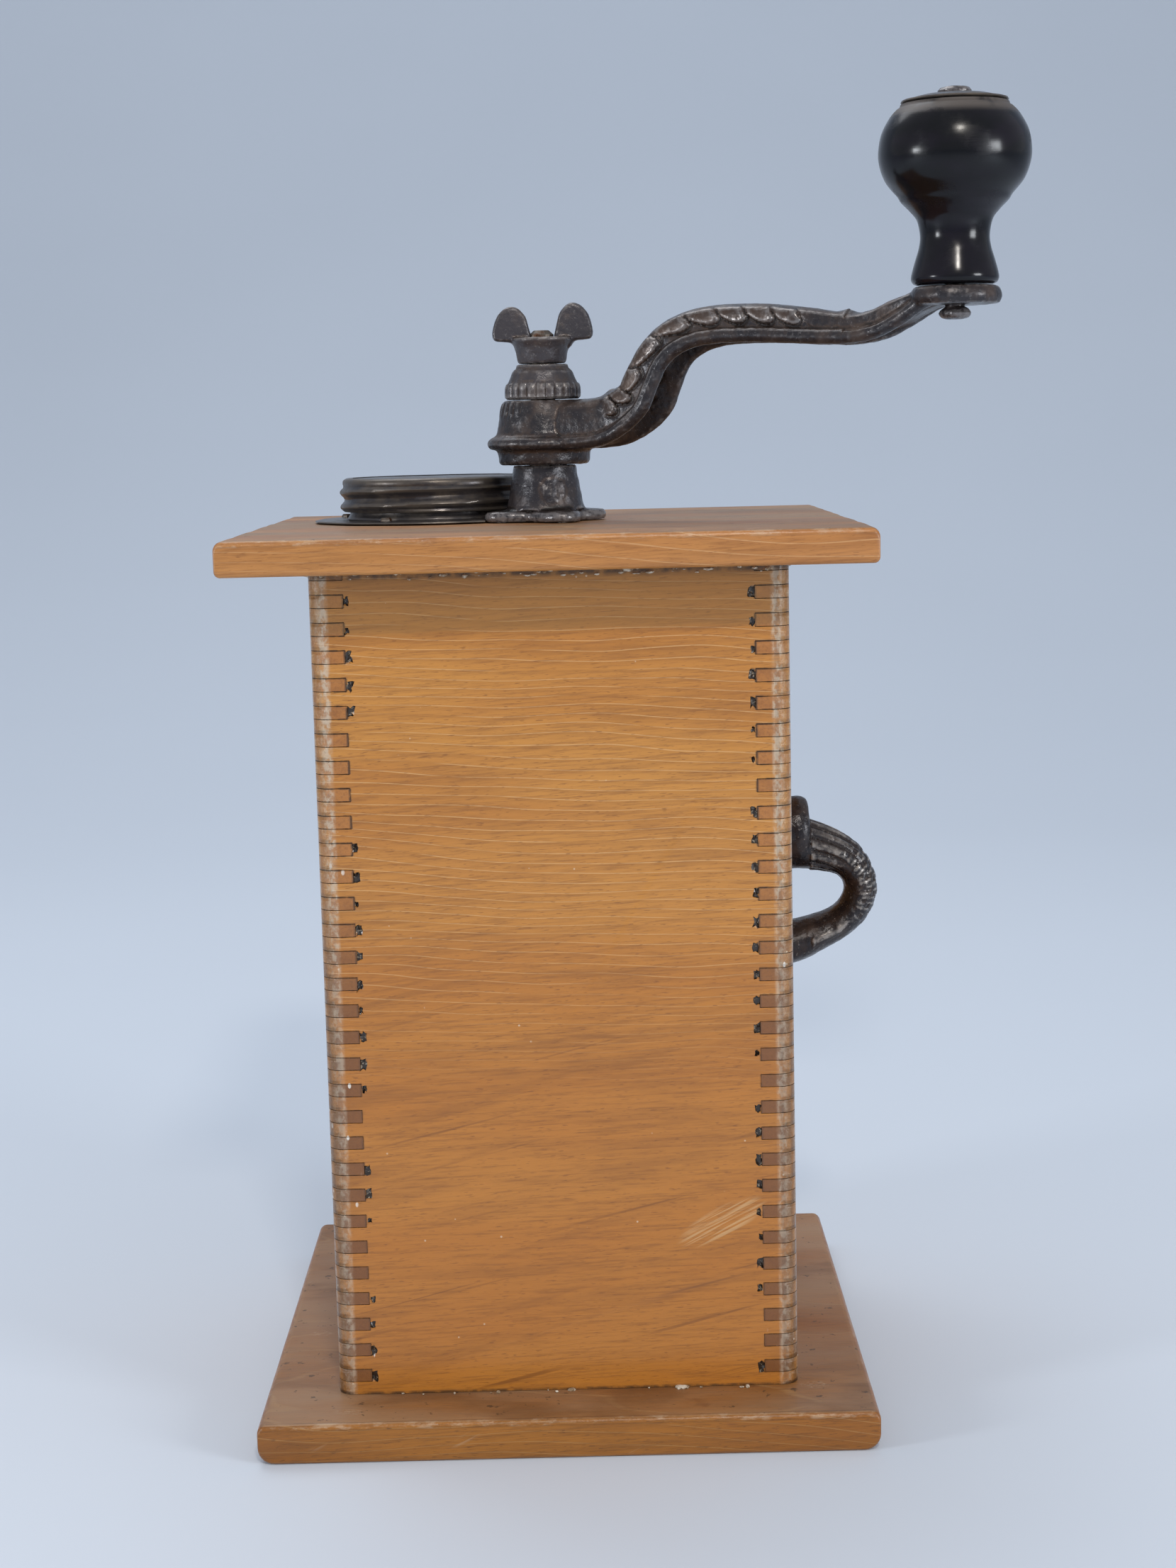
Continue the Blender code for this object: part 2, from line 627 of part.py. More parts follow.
def make_burrs(crank_axis):
    teeth = 16
    outer = [
        (16.4, 76.0, 0.4), (22.0, 76.0), (22.0, BURR_FLANGE_LOW), (37.0, BURR_FLANGE_LOW), (37.0, FLOOR_LOW - GAP),
        (22.1, FLOOR_LOW - GAP), (22.1, 105.4), (20.2, 106.4), (18.2, 92.0, 0.6),
    ]
    add("outer_burr", turned(outer, 2 * teeth, lobes=teeth), "cast_iron", at=MILL_AXIS)
    bore = SPINDLE_RADIUS + GAP
    inner = [
        (bore, 77.5), (15.0, 77.5, 0.5), (14.4, 82.0, 0.5), (9.5, 95.5, 0.9), (7.8, 97.4), (7.8, 104.0),
        (bore, 104.0),
    ]
    add("inner_burr", turned(inner, 32, lobes=8, twist=0.21), "cast_iron", crank_axis)
    pin_height = 100.8
    pin = [(0, 7.2), (1.5, 7.2), (1.5, -7.2), (0, -7.2)]
    pin_hole = [(0, 9.0), (1.8, 9.0), (1.8, -9.0), (0, -9.0)]
    add("burr_pin", turned(pin, 10), "steel", crank_axis, at=(0, 0, pin_height), turn=TIP_PLUS_X)
    for name in ("spindle", "inner_burr"):
        holes[name] = [placed(turned(pin_hole, 10), (0, 0, pin_height), TIP_PLUS_X)]


def make_bridge():
    foot_high = BURR_FLANGE_LOW - GAP
    foot_low = foot_high - 5
    bar_low = 66.5
    right = [(37.0, foot_high), (37.0, foot_low), (27.0, foot_low), (27.0, bar_low)]
    inside = [(23.0, foot_high), (23.0, bar_low + 5)]
    left = [(-x, z) for x, z in reversed(right)]
    outline = right + left + [(-x, z) for x, z in inside] + list(reversed(inside))
    add("lower_bridge", prism(outline, -7, 7, axis="Y"), "cast_iron", at=MILL_AXIS, smooth=False)
    holes["lower_bridge"] = [placed(rod(SPINDLE_RADIUS + GAP, bar_low - 1, bar_low + 6, 12), MILL_AXIS)]
    bolt = pan_screw(4.4, 2.8, 2.3, 25.4)
    for number in range(4):
        angle = number * math.pi / 2
        reach = Vector((math.cos(angle), math.sin(angle), 0.0)) * BOLT_CIRCLE
        at = MILL_AXIS + reach + Vector((0.0, 0.0, FLOOR_HIGH + GAP + 2.8))
        through = ["hopper_floor", "outer_burr"]
        if number % 2 == 0:
            through.append("lower_bridge")
        fasten(f"housing_bolt_{number + 1}", bolt, at, UP, through)


# Drawer


def make_drawer():
    axis = add_axis("drawer_axis", (0, CASE_WIDTH / 2, CASE_LOW))
    back = -axis.location / MM
    inner = INNER_HALF
    face = block((-DRAWER_HALF, inner, CASE_LOW), (DRAWER_HALF, CASE_WIDTH / 2, DRAWER_TOP), bevel=0.8)
    add("drawer_front", face, "varnished_wood", axis, at=back, smooth=False)
    for side, sign in (("left", -1), ("right", 1)):
        near, far = sorted((sign * (DRAWER_HALF - DRAWER_WALL), sign * DRAWER_HALF))
        wall = block((near, DRAWER_TAIL, CASE_LOW), (far, inner - GAP, DRAWER_SIDE_TOP))
        add(f"drawer_side_{side}", wall, "bare_wood", axis, at=back, smooth=False)
    between = DRAWER_HALF - DRAWER_WALL - GAP
    tail = DRAWER_TAIL + DRAWER_WALL
    add("drawer_back", block((-between, DRAWER_TAIL, CASE_LOW), (between, tail, DRAWER_SIDE_TOP)), "bare_wood",
        axis, at=back, smooth=False)
    floor = block((-between, tail + GAP, CASE_LOW + 0.8), (between, inner - GAP, CASE_LOW + 3.8))
    add("drawer_bottom", floor, "bare_wood", axis, at=back, smooth=False)

    height = (CASE_LOW + DRAWER_TOP) / 2
    knob = [(0, -12), (2.0, -12), (2.0, 0), (6.5, 0), (4.9, -3), (4.7, -5), (8.5, -8.6), (9.6, -12), (8.0, -15.2),
            (0, -16.4)]
    knob_at = Vector((0, CASE_WIDTH / 2 + GAP, height)) + back
    add("drawer_knob", turned(knob, 16), "cast_iron", axis, at=knob_at, turn=TIP_PLUS_Y)
    screw = pan_screw(4.0, 2.2, 1.6, 22.0)
    add("drawer_knob_screw", turned(screw, 8), "steel", axis, at=Vector((0, inner - GAP - 2.2, height)) + back,
        turn=TIP_PLUS_Y)
    hole = rod(1.9, -CASE_WIDTH / 2 - 1, -inner + 1, 10)
    holes["drawer_front"] = [placed(hole, Vector((0, 0, height)) + back, TIP_PLUS_Y)]


def main():
    for thing in list(bpy.data.objects):
        bpy.data.objects.remove(thing)
    make_materials()
    make_case()
    make_case_fasteners()
    make_inside()
    make_side_handle()
    make_filler()
    make_post()
    crank_axis = add_axis("crank_axis", MILL_AXIS, CRANK_TURN)
    make_spindle(crank_axis)
    make_crank_arm(crank_axis)
    make_collar(crank_axis)
    make_wing_nut(crank_axis)
    make_knob(crank_axis)
    make_burrs(crank_axis)
    make_bridge()
    make_drawer()
    cut_holes()


main()
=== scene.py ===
"""Looks of the hand crank coffee mill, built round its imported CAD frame.

Lengths are in millimetres and become metres where a mesh is made. Pieces are modelled at rest in the CAD's
own frame: +Z is up, the back of the case faces -Y and the camera, and the crank is turned 25 degrees from +X
towards the camera.
"""
import json
import math

import bmesh
import bpy
import numpy as np
from mathutils import Matrix, Vector, noise


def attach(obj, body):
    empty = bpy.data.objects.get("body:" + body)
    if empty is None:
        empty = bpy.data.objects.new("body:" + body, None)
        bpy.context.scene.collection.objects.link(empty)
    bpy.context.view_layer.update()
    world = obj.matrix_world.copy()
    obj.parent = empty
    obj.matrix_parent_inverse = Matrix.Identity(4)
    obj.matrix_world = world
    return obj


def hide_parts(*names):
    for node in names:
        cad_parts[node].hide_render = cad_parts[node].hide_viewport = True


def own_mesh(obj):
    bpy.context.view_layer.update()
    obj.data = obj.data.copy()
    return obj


MM = 0.001

# Case, as in the CAD
CASE_HALF = 63.5
WALL = 9.35
INNER_HALF = CASE_HALF - WALL
CASE_LOW = 11.25
CASE_HIGH = 237.65
FINGER_COUNT = 31
FINGER_HEIGHT = 3.5
FINGER_PITCH = 7.35
FIRST_FINGER = 2.25
SEAM = 0.09  # half of the joint line between two boards
CORNER_RADIUS = 4.2
DRAWER_HALF = 46.0
DRAWER_LOW = 11.4
DRAWER_TOP = 79.6
TOP_HALF = 84.75
TOP_LOW = 237.8
TOP_HIGH = 247.1
BASE_HALF = 83.75
BASE_HIGH = 11.1

# Iron work
MILL_AXIS = Vector((-1.0, 0.0, 0.0))
CRANK_TURN = math.radians(-25.0)
CRANK_REACH = 121.1
CAP_CENTRE = Vector((-34.0, 25.0, 0.0))
CAP_TURN = math.radians(200.0)
THREAD_PITCH = 4.3
HUB_TOP = 281.4
POST_FOOT_TURN = math.radians(20.0)
POST_FOOT_LOBE = 3.4
POST_FOOT_TOP = 250.6
SPRING_LOW = 208.3
SPRING_HIGH = 236.7

UP = Matrix.Identity(4)
TIP_PLUS_Y = Matrix.Rotation(math.pi / 2, 4, "X")
ON_MILL = Matrix.Translation(MILL_AXIS)
ON_CRANK = ON_MILL @ Matrix.Rotation(CRANK_TURN, 4, "Z")
ON_KNOB = ON_CRANK @ Matrix.Translation((CRANK_REACH, 0.0, 0.0))
ON_CAP = Matrix.Translation(CAP_CENTRE)

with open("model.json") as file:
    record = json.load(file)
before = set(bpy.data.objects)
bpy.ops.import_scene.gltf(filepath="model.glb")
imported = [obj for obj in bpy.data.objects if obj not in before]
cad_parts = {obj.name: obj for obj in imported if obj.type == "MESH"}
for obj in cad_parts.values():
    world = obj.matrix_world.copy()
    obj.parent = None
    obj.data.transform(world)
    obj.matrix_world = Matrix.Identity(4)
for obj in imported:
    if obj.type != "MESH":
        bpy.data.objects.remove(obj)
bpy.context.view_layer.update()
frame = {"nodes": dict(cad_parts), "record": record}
rng = np.random.default_rng(11)


# Shader nodes


def srgb(red, green, blue):
    """A linear colour from the 0 to 255 numbers that a screen shows."""
    linear = [((c / 255 + 0.055) / 1.055) ** 2.4 if c > 10 else c / 255 / 12.92 for c in (red, green, blue)]
    return (*linear, 1.0)


class Paint:
    """A material, and short names for the nodes that go into it. Sizes are in millimetres.

    Its colour is built up from a ground by laying one colour after another over it.
    """

    def __init__(self, name, roughness=0.5, metallic=0.0, coat=0.0, coat_roughness=0.1):
        self.material = bpy.data.materials.new(name)
        self.material.use_nodes = True
        self.tree = self.material.node_tree
        self.shader = self.tree.nodes["Principled BSDF"]
        self.fill(self.shader, {"Roughness": roughness, "Metallic": metallic, "Coat Weight": coat,
                                "Coat Roughness": coat_roughness})
        places = self.node("TexCoord")
        self.place = places["Object"]
        self.normal = places["Normal"]
        self.colour = None

    def fill(self, node, inputs):
        """Links a node's inputs to other nodes' outputs, or sets them to plain values."""
        for key, value in inputs.items():
            if isinstance(value, bpy.types.NodeSocket):
                self.tree.links.new(value, node.inputs[key])
            else:
                node.inputs[key].default_value = value

    def node(self, kind, inputs={}, **settings):
        """The outputs of a new node."""
        node = self.tree.nodes.new(f"ShaderNode{kind}")
        for key, value in settings.items():
            setattr(node, key, value)
        self.fill(node, inputs)
        return node.outputs

    def calc(self, operation, a, b=0.0):
        return self.node("Math", {0: a, 1: b}, operation=operation)[0]

    def plus(self, a, b):
        return self.calc("ADD", a, b)

    def minus(self, a, b):
        return self.calc("SUBTRACT", a, b)

    def times(self, a, b):
        return self.calc("MULTIPLY", a, b)

    def distance(self, a, b=0.0):
        return self.calc("ABSOLUTE", self.minus(a, b))

    def both(self, *masks):
        result = masks[0]
        for mask in masks[1:]:
            result = self.times(result, mask)
        return result

    def axis(self, letter, source=None):
        return self.node("SeparateXYZ", {0: source or self.place})[letter]

    def across(self, letter):
        """Distance from the middle plane, in millimetres."""
        return self.times(self.distance(self.axis(letter)), 1000.0)

    def height(self):
        return self.times(self.axis("Z"), 1000.0)

    def attribute(self, name):
        return self.node("Attribute", attribute_name=name)["Fac"]

    def noise(self, size, stretch=(1, 1, 1), detail=4.0, roughness=0.55, distortion=0.0, shift=(0, 0, 0)):
        place = self.node("Mapping", {"Vector": self.place, "Scale": stretch, "Location": shift})[0]
        return self.node("TexNoise", {"Vector": place, "Scale": 1000.0 / size, "Detail": detail,
                                      "Roughness": roughness, "Distortion": distortion})["Fac"]

    def grain(self, along, climb, length, breadth, detail=3.0, roughness=0.55, shift=(0, 0, 0)):
        """Noise drawn out along X or Y, climbing at an angle in radians."""
        turn = (0.0, -climb, 0.0) if along == "X" else (climb, 0.0, 0.0)
        size = (length, breadth, breadth) if along == "X" else (breadth, length, breadth)
        place = self.node("Mapping", {"Vector": self.place, "Location": shift, "Rotation": turn,
                                      "Scale": [value * MM for value in size]}, vector_type="TEXTURE")[0]
        return self.node("TexNoise", {"Vector": place, "Scale": 1.0, "Detail": detail,
                                      "Roughness": roughness})["Fac"]

    def cells(self, size, stretch=(1, 1, 1)):
        place = self.node("Mapping", {"Vector": self.place, "Scale": stretch})[0]
        return self.node("TexVoronoi", {"Vector": place, "Scale": 1000.0 / size})["Distance"]

    def between(self, value, low, high):
        """0 below low, 1 above high and smooth between; the other way round if low is the greater."""
        limits = (low, high, 0.0, 1.0) if low < high else (high, low, 1.0, 0.0)
        keys = ("From Min", "From Max", "To Min", "To Max")
        return self.node("MapRange", {"Value": value, **dict(zip(keys, limits))},
                         interpolation_type="SMOOTHSTEP")["Result"]

    def spots(self, low, high, *noise_args, **noise_options):
        return self.between(self.noise(*noise_args, **noise_options), low, high)

    def mix(self, amount, under, over):
        return self.node("Mix", {"Factor": amount, "A": under, "B": over}, data_type="RGBA")["Result"]

    def blend_values(self, amount, under, over):
        return self.node("Mix", {0: amount, 2: under, 3: over})[0]

    def tint(self, mask, strength, under, over):
        """One colour over another where the mask is 1, at that strength."""
        return self.mix(self.times(mask, strength), under, over)

    def lay(self, mask, strength, over):
        """Tints the material's own colour."""
        self.colour = self.tint(mask, strength, self.colour, over)

    def bump(self, height, depth, under=None):
        """Raises the surface by depth millimetres where height is 1."""
        inputs = {"Height": height, "Distance": depth * MM}
        if under:
            inputs["Normal"] = under
        return self.node("Bump", inputs)[0]

    def finish(self, roughness=None, normal=None):
        inputs = {"Base Color": self.colour, "Roughness": roughness, "Normal": normal}
        self.fill(self.shader, {key: value for key, value in inputs.items() if value is not None})
        return self.material


# Materials


def wood_figure(paint, along, tones, line_gap, shift, level=0.0):
    """Colours planed wood with its grain along X or Y, and returns its relief.

    Pale hairlines lie above the level, in millimetres, and dark bands sweep upward below it.
    """
    light, middle, dark, pale = tones
    streak_shift = (shift[2], shift[0], shift[1])
    lull_shift = (shift[1], shift[2], shift[0])
    above = paint.between(paint.height(), level - 45.0, level + 30.0)
    below = paint.minus(1.0, above)

    broad = paint.grain(along, 0.03, 190.0, 30.0, 3.0, shift=shift)
    paint.colour = paint.mix(paint.between(broad, 0.36, 0.64), light, middle)
    sweep = paint.grain(along, 0.26, 95.0, 9.0, 4.0, 0.6, shift)
    paint.lay(paint.both(paint.between(sweep, 0.5, 0.72), below), 0.5, dark)
    streak = paint.grain(along, 0.24, 70.0, 1.5, 2.0, shift=streak_shift)
    in_sweep = paint.between(sweep, 0.42, 0.56)
    paint.lay(paint.both(paint.between(streak, 0.6, 0.7), in_sweep, below), 0.7, dark)
    lull = paint.grain(along, 0.22, 120.0, 16.0, 3.0, shift=lull_shift)
    paint.lay(paint.both(paint.between(lull, 0.5, 0.36), below), 0.4, light)
    haze = paint.grain(along, 0.05, 60.0, 6.0, 5.0, 0.65, shift)
    paint.lay(paint.between(haze, 0.46, 0.74), 0.4, dark)

    ring = paint.calc("FRACT", ring_count(paint, along, line_gap, shift))
    hairline = paint.both(paint.between(ring, 0.86, 0.92), paint.between(ring, 1.0, 0.94))
    breaks = paint.between(paint.grain(along, 0.0, 40.0, 2.4, 2.0, shift=shift), 0.3, 0.5)
    hairline = paint.both(hairline, breaks, above)
    paint.lay(hairline, 0.62, pale)
    paint.lay(paint.both(paint.between(ring, 0.3, 0.86), above), 0.18, dark)

    fibre = paint.grain(along, 0.04, 12.0, 0.55, 4.0, 0.7, shift)
    paint.lay(paint.between(fibre, 0.44, 0.72), 0.56, dark)
    pore = paint.grain(along, 0.05, 2.6, 0.3, 1.0, shift=shift)
    paint.lay(paint.between(pore, 0.64, 0.74), 0.6, dark)
    return paint.minus(fibre, paint.times(hairline, 0.5))


def ring_count(paint, along, line_gap, shift):
    """How many growth rings lie below a point: they fall along the grain, and waver."""
    fall = paint.times(paint.axis(along), 45.0)
    level = paint.calc("DIVIDE", paint.plus(paint.height(), fall), line_gap)
    waver = paint.grain(along, 0.0, 110.0, 36.0, 2.0, shift=shift)
    return paint.plus(level, paint.times(waver, 5.0))


def end_grain(paint, along, colour, dark):
    """Darker, speckled wood where the boards are cut across, and how much of it there is."""
    mask = paint.between(paint.distance(paint.axis(along, paint.normal)), 0.55, 0.8)
    cut = paint.tint(paint.spots(0.45, 0.7, 0.7, detail=3.0, roughness=0.7), 0.55, colour, dark)
    rings = paint.spots(0.4, 0.7, 4.5, (0.5, 0.5, 1.2), detail=3.0, distortion=1.0)
    return paint.tint(rings, 0.4, cut, dark), mask


# Light, middle, dark and hairline tones of each kind of board
FACE_WOOD = (srgb(190, 129, 54), srgb(178, 115, 44), srgb(120, 70, 20), srgb(230, 182, 122))
TOP_BOARD_WOOD = (srgb(184, 126, 66), srgb(172, 112, 55), srgb(122, 72, 30), srgb(212, 162, 108))
BASE_BOARD_WOOD = (srgb(158, 99, 26), srgb(142, 85, 20), srgb(92, 54, 16), srgb(184, 136, 76))
PLAIN_WOOD = (srgb(206, 166, 116), srgb(190, 148, 98), srgb(140, 98, 58), srgb(224, 192, 148))
END_WOOD = (srgb(166, 106, 48), srgb(120, 72, 32))
DARK_END_WOOD = srgb(92, 52, 22)
RICH_WOOD = srgb(168, 98, 12)
# dark brown for grime, joint lines, dents, darker seams and corners, and painted shade in the pits
GRIME_AND_SHADE = srgb(44, 32, 22)
# olive brown for older varnish and a painted shadow under the top board, and for a darker line along the
# rounded corners
OLIVE_BROWN = srgb(140, 104, 54)
# pale for chips, crumbs, specks, flakes and scratches, and for a painted highlight along the boards' upper
# arris
PALE_CHIP_AND_HIGHLIGHT = srgb(214, 196, 168)
# pale grey for the corner strip: rubbed varnish and a painted sheen
RUBBED_AND_SHEEN = srgb(196, 182, 160)
SCUFFED = srgb(208, 172, 122)
SPLASHED = srgb(232, 226, 214)
BRUISED = srgb(104, 60, 30)


def finger_marks(paint, near):
    """Dark outlines of the finger joints, along the fingers' edges and across their inner ends.

    It also returns the distance from the fingers' upper edges.
    """
    below_top = paint.minus(CASE_HIGH - FIRST_FINGER, paint.height())
    step = paint.calc("MODULO", paint.plus(below_top, FINGER_PITCH * 4), FINGER_PITCH)
    gap = FINGER_PITCH - FINGER_HEIGHT
    upper = paint.distance(step, gap)
    lower = paint.calc("MINIMUM", step, paint.minus(FINGER_PITCH, step))
    uneven = paint.noise(3.0, detail=3.0)
    top_line = paint.both(paint.between(upper, 0.45, 0.1), paint.between(uneven, 0.34, 0.56))
    foot_line = paint.both(paint.between(lower, 0.35, 0.06), paint.between(uneven, 0.5, 0.64))
    beyond = paint.between(near, INNER_HALF - 0.3, INNER_HALF)
    edges = paint.both(paint.calc("MAXIMUM", top_line, foot_line), beyond)
    on_side = paint.between(paint.distance(paint.axis("X", paint.normal)), 0.6, 0.8)
    finger = paint.distance(paint.between(step, gap - 0.1, gap + 0.1), on_side)
    inner = paint.between(paint.distance(near, INNER_HALF), 0.55, 0.15)
    ends = paint.both(inner, finger, paint.between(uneven, 0.3, 0.5))
    return paint.calc("MAXIMUM", edges, ends), upper


def varnish_and_shadow_band(paint):
    """Older, darker varnish and a painted shadow of the top board, down to a ragged line."""
    ragged = paint.noise(9.0, (0.4, 0.4, 1.0), detail=3.0)
    shade_line = paint.plus(CASE_HIGH - 17.4, paint.times(ragged, 1.6))
    # painted shadow of the top board, mixed with older varnish
    paint.lay(paint.between(paint.minus(paint.height(), shade_line), -0.6, 0.8), 0.36, OLIVE_BROWN)


def pit_floors(paint, near, far):
    """Grime and painted shade, with pale crumbs, in the pits at the fingers' ends."""
    shallow = paint.both(paint.between(far, CASE_HALF - 0.1, CASE_HALF - 0.35),
                         paint.between(far, CASE_HALF - 2.4, CASE_HALF - 2.1))
    sunk = paint.both(shallow, paint.between(near, 49.0, 50.0), paint.between(near, 58.0, 57.0))
    crumbs = paint.spots(0.56, 0.66, 0.8, detail=2.0, roughness=0.7)
    # the pits' floors are painted dark, as grime and painted shade, with pale crumbs
    paint.colour = paint.mix(sunk, paint.colour, paint.tint(crumbs, 0.45, GRIME_AND_SHADE, PALE_CHIP_AND_HIGHLIGHT))


def corner_wear(paint, corner, lower):
    """Rubbed varnish with a painted sheen, flakes and splashes on the rounded corners, which are darker
    towards the bottom; returns where they are rounded.
    """
    full = 2 * CASE_HALF
    rounded = paint.between(corner, full - 4.6, full - 3.0)
    flakes = paint.spots(0.52, 0.66, 2.0, (1, 1, 0.6), detail=5.0, roughness=0.7)
    paint.lay(paint.both(rounded, flakes), 0.2, PALE_CHIP_AND_HIGHLIGHT)
    # a pale strip along each rounded corner, rubbed varnish and a painted sheen, weaker towards the bottom
    # and broken by a darker line
    rubbed_sheen_strip = paint.both(paint.between(corner, full - 5.6, full - 4.4),
                       paint.between(corner, full - 2.5, full - 3.2))
    paint.lay(rubbed_sheen_strip, 0.14, RUBBED_AND_SHEEN)
    wavy = paint.spots(0.42, 0.62, 1.5, (1, 1, 0.7), detail=3.0, roughness=0.6)
    paint.lay(paint.both(rubbed_sheen_strip, wavy, paint.blend_values(lower, 1.0, 0.6)), 0.64, RUBBED_AND_SHEEN)
    paint.lay(paint.between(corner, full - 3.3, full - 2.7), 0.35, OLIVE_BROWN)
    # darker towards the bottom of the rounded corners
    paint.lay(paint.both(rounded, lower), 0.2, GRIME_AND_SHADE)
    splash = paint.both(paint.between(paint.cells(3.4, (1, 1, 0.6)), 0.16, 0.1),
                        paint.between(corner, full - 9, full - 6))
    here = paint.spots(0.58, 0.62, 30.0, (0.3, 0.3, 1), detail=1.0, shift=(0.2, 0.1, 0.0))
    paint.lay(paint.both(splash, here), 0.8, SPLASHED)
    return rounded


def seam_darkening(paint):
    """Darker, blotchy lines along the seams at the foot and head of the case."""
    foot = paint.between(paint.height(), CASE_LOW + 1.0, CASE_LOW + 0.2)
    head = paint.between(paint.height(), CASE_HIGH - 3.0, CASE_HIGH - 1.4)
    paint.lay(paint.both(paint.calc("MAXIMUM", foot, head), paint.spots(0.3, 0.6, 4.0)), 0.8, GRIME_AND_SHADE)


def case_wood(name, along, shift):
    """Varnished case board: joint lines, chipped pits with painted shade, rubbed corners with painted sheen,
    and scuffs.
    """
    paint = Paint(name, roughness=0.4, coat=0.5, coat_roughness=0.18)
    near = paint.calc("MINIMUM", paint.across("X"), paint.across("Y"))
    far = paint.calc("MAXIMUM", paint.across("X"), paint.across("Y"))
    lower = paint.between(paint.height(), 165.0, 110.0)
    light, middle, dark, pale = FACE_WOOD
    tones = (paint.tint(lower, 0.5, light, RICH_WOOD), paint.tint(lower, 0.5, middle, RICH_WOOD), dark, pale)
    relief = wood_figure(paint, along, tones, 2.7, shift, level=128.0)
    cut, cut_mask = end_grain(paint, along, *END_WOOD)
    paint.lay(cut_mask, 0.88, paint.tint(lower, 0.78, cut, DARK_END_WOOD))

    marks, finger_edge = finger_marks(paint, near)
    paint.lay(paint.both(marks, paint.blend_values(lower, 1.0, 0.45)), 0.75, GRIME_AND_SHADE)
    varnish_and_shadow_band(paint)
    pit_floors(paint, near, far)
    rounded = corner_wear(paint, paint.plus(near, far), lower)
    seam_darkening(paint)
    paint.lay(scuff(paint, 43.0, 58.0), 0.5, SCUFFED)
    speck = paint.both(paint.between(paint.cells(5.0), 0.07, 0.04), paint.spots(0.56, 0.62, 14.0, detail=1.0))
    paint.lay(speck, 0.6, PALE_CHIP_AND_HIGHLIGHT)

    gloss = paint.blend_values(paint.between(relief, 0.3, 0.7), 0.34, 0.48)
    ripple = paint.plus(paint.between(finger_edge, 0.0, 1.2), paint.noise(1.3, (1, 1, 0.6), detail=3.0))
    return paint.finish(gloss, paint.bump(paint.both(rounded, ripple), 0.6, paint.bump(relief, 0.05)))


def scratches(paint):
    """Thin pale marks that climb across the grain, in a few places."""
    line = paint.grain("X", 0.45, 16.0, 0.55, 2.0)
    where = paint.grain("X", 0.45, 34.0, 13.0, 1.0, shift=(0.031, 0.02, 0.012))
    return paint.both(paint.between(line, 0.52, 0.62), paint.between(where, 0.68, 0.74))


def scuff(paint, out, height):
    """A patch of pale strokes on the back of the case, centred at a distance out from the middle."""
    climb = 0.47
    east = paint.minus(paint.times(paint.axis("X"), 1000.0), out)
    north = paint.minus(paint.height(), height)
    along = paint.plus(paint.times(east, math.cos(climb)), paint.times(north, math.sin(climb)))
    across = paint.minus(paint.times(north, math.cos(climb)), paint.times(east, math.sin(climb)))
    spread = paint.plus(paint.calc("POWER", paint.calc("DIVIDE", along, 13.0), 2.0),
                        paint.calc("POWER", paint.calc("DIVIDE", across, 4.2), 2.0))
    strokes = paint.between(paint.grain("X", climb, 22.0, 0.7, 2.0), 0.42, 0.58)
    behind = paint.between(paint.times(paint.axis("Y"), 1000.0), 0.0, -10.0)
    return paint.both(strokes, paint.between(spread, 1.2, 0.5), behind)


def board_wood(name, tones, half, high, shift, top_tint):
    """Top or base board: grain along X, worn upper arris with a painted highlight line, dull and dented upper
    face.
    """
    paint = Paint(name, roughness=0.42, coat=0.15, coat_roughness=0.25)
    relief = wood_figure(paint, "X", tones, 3.1, shift)
    cut, cut_mask = end_grain(paint, "X", tones[1], tones[2])
    paint.lay(cut_mask, 0.8, cut)
    upward = paint.between(paint.axis("Z", paint.normal), 0.75, 0.95)
    dull = paint.grain("X", 0.0, 75.0, 26.0, 5.0, shift=shift)
    paint.lay(paint.both(upward, paint.between(dull, 0.2, 0.75)), 0.75, top_tint)
    stain = paint.spots(0.52, 0.68, 22.0, (0.5, 1, 1), detail=5.0, shift=shift)
    paint.lay(paint.both(upward, stain), 0.45, tones[2])
    dents = paint.spots(0.64, 0.7, 3.2, detail=3.0, roughness=0.6, shift=shift)
    paint.lay(paint.both(upward, dents), 0.65, GRIME_AND_SHADE)
    far = paint.calc("MAXIMUM", paint.across("X"), paint.across("Y"))
    # a pale line along the upper arris: rubbed wear and a painted highlight
    arris = paint.between(paint.plus(far, paint.height()), half + high - 1.9, half + high - 1.2)
    rubbed = paint.spots(0.5, 0.64, 2.4, (0.3, 0.3, 1), detail=5.0, roughness=0.7)
    paint.lay(paint.both(arris, rubbed), 0.24, PALE_CHIP_AND_HIGHLIGHT)
    paint.lay(paint.spots(0.66, 0.74, 7.0, (0.5, 0.5, 1.4), detail=3.0, shift=shift), 0.4, BRUISED)
    paint.lay(scratches(paint), 0.2, PALE_CHIP_AND_HIGHLIGHT)
    nibbled = paint.both(arris, paint.noise(1.8, (0.6, 0.6, 1), detail=4.0))
    gloss = paint.blend_values(upward, 0.38, 0.6)
    return paint.finish(gloss, paint.bump(nibbled, 0.4, paint.bump(relief, 0.06)))


def bare_wood():
    """Unvarnished wood inside the mill, browned by coffee dust."""
    paint = Paint("bare_wood_grain", roughness=0.75)
    relief = wood_figure(paint, "X", PLAIN_WOOD, 5.0, (0.2, 0.4, 0.1))
    paint.lay(paint.spots(0.45, 0.75, 18.0, detail=5.0), 0.5, srgb(92, 58, 34))
    return paint.finish(None, paint.bump(relief, 0.08))


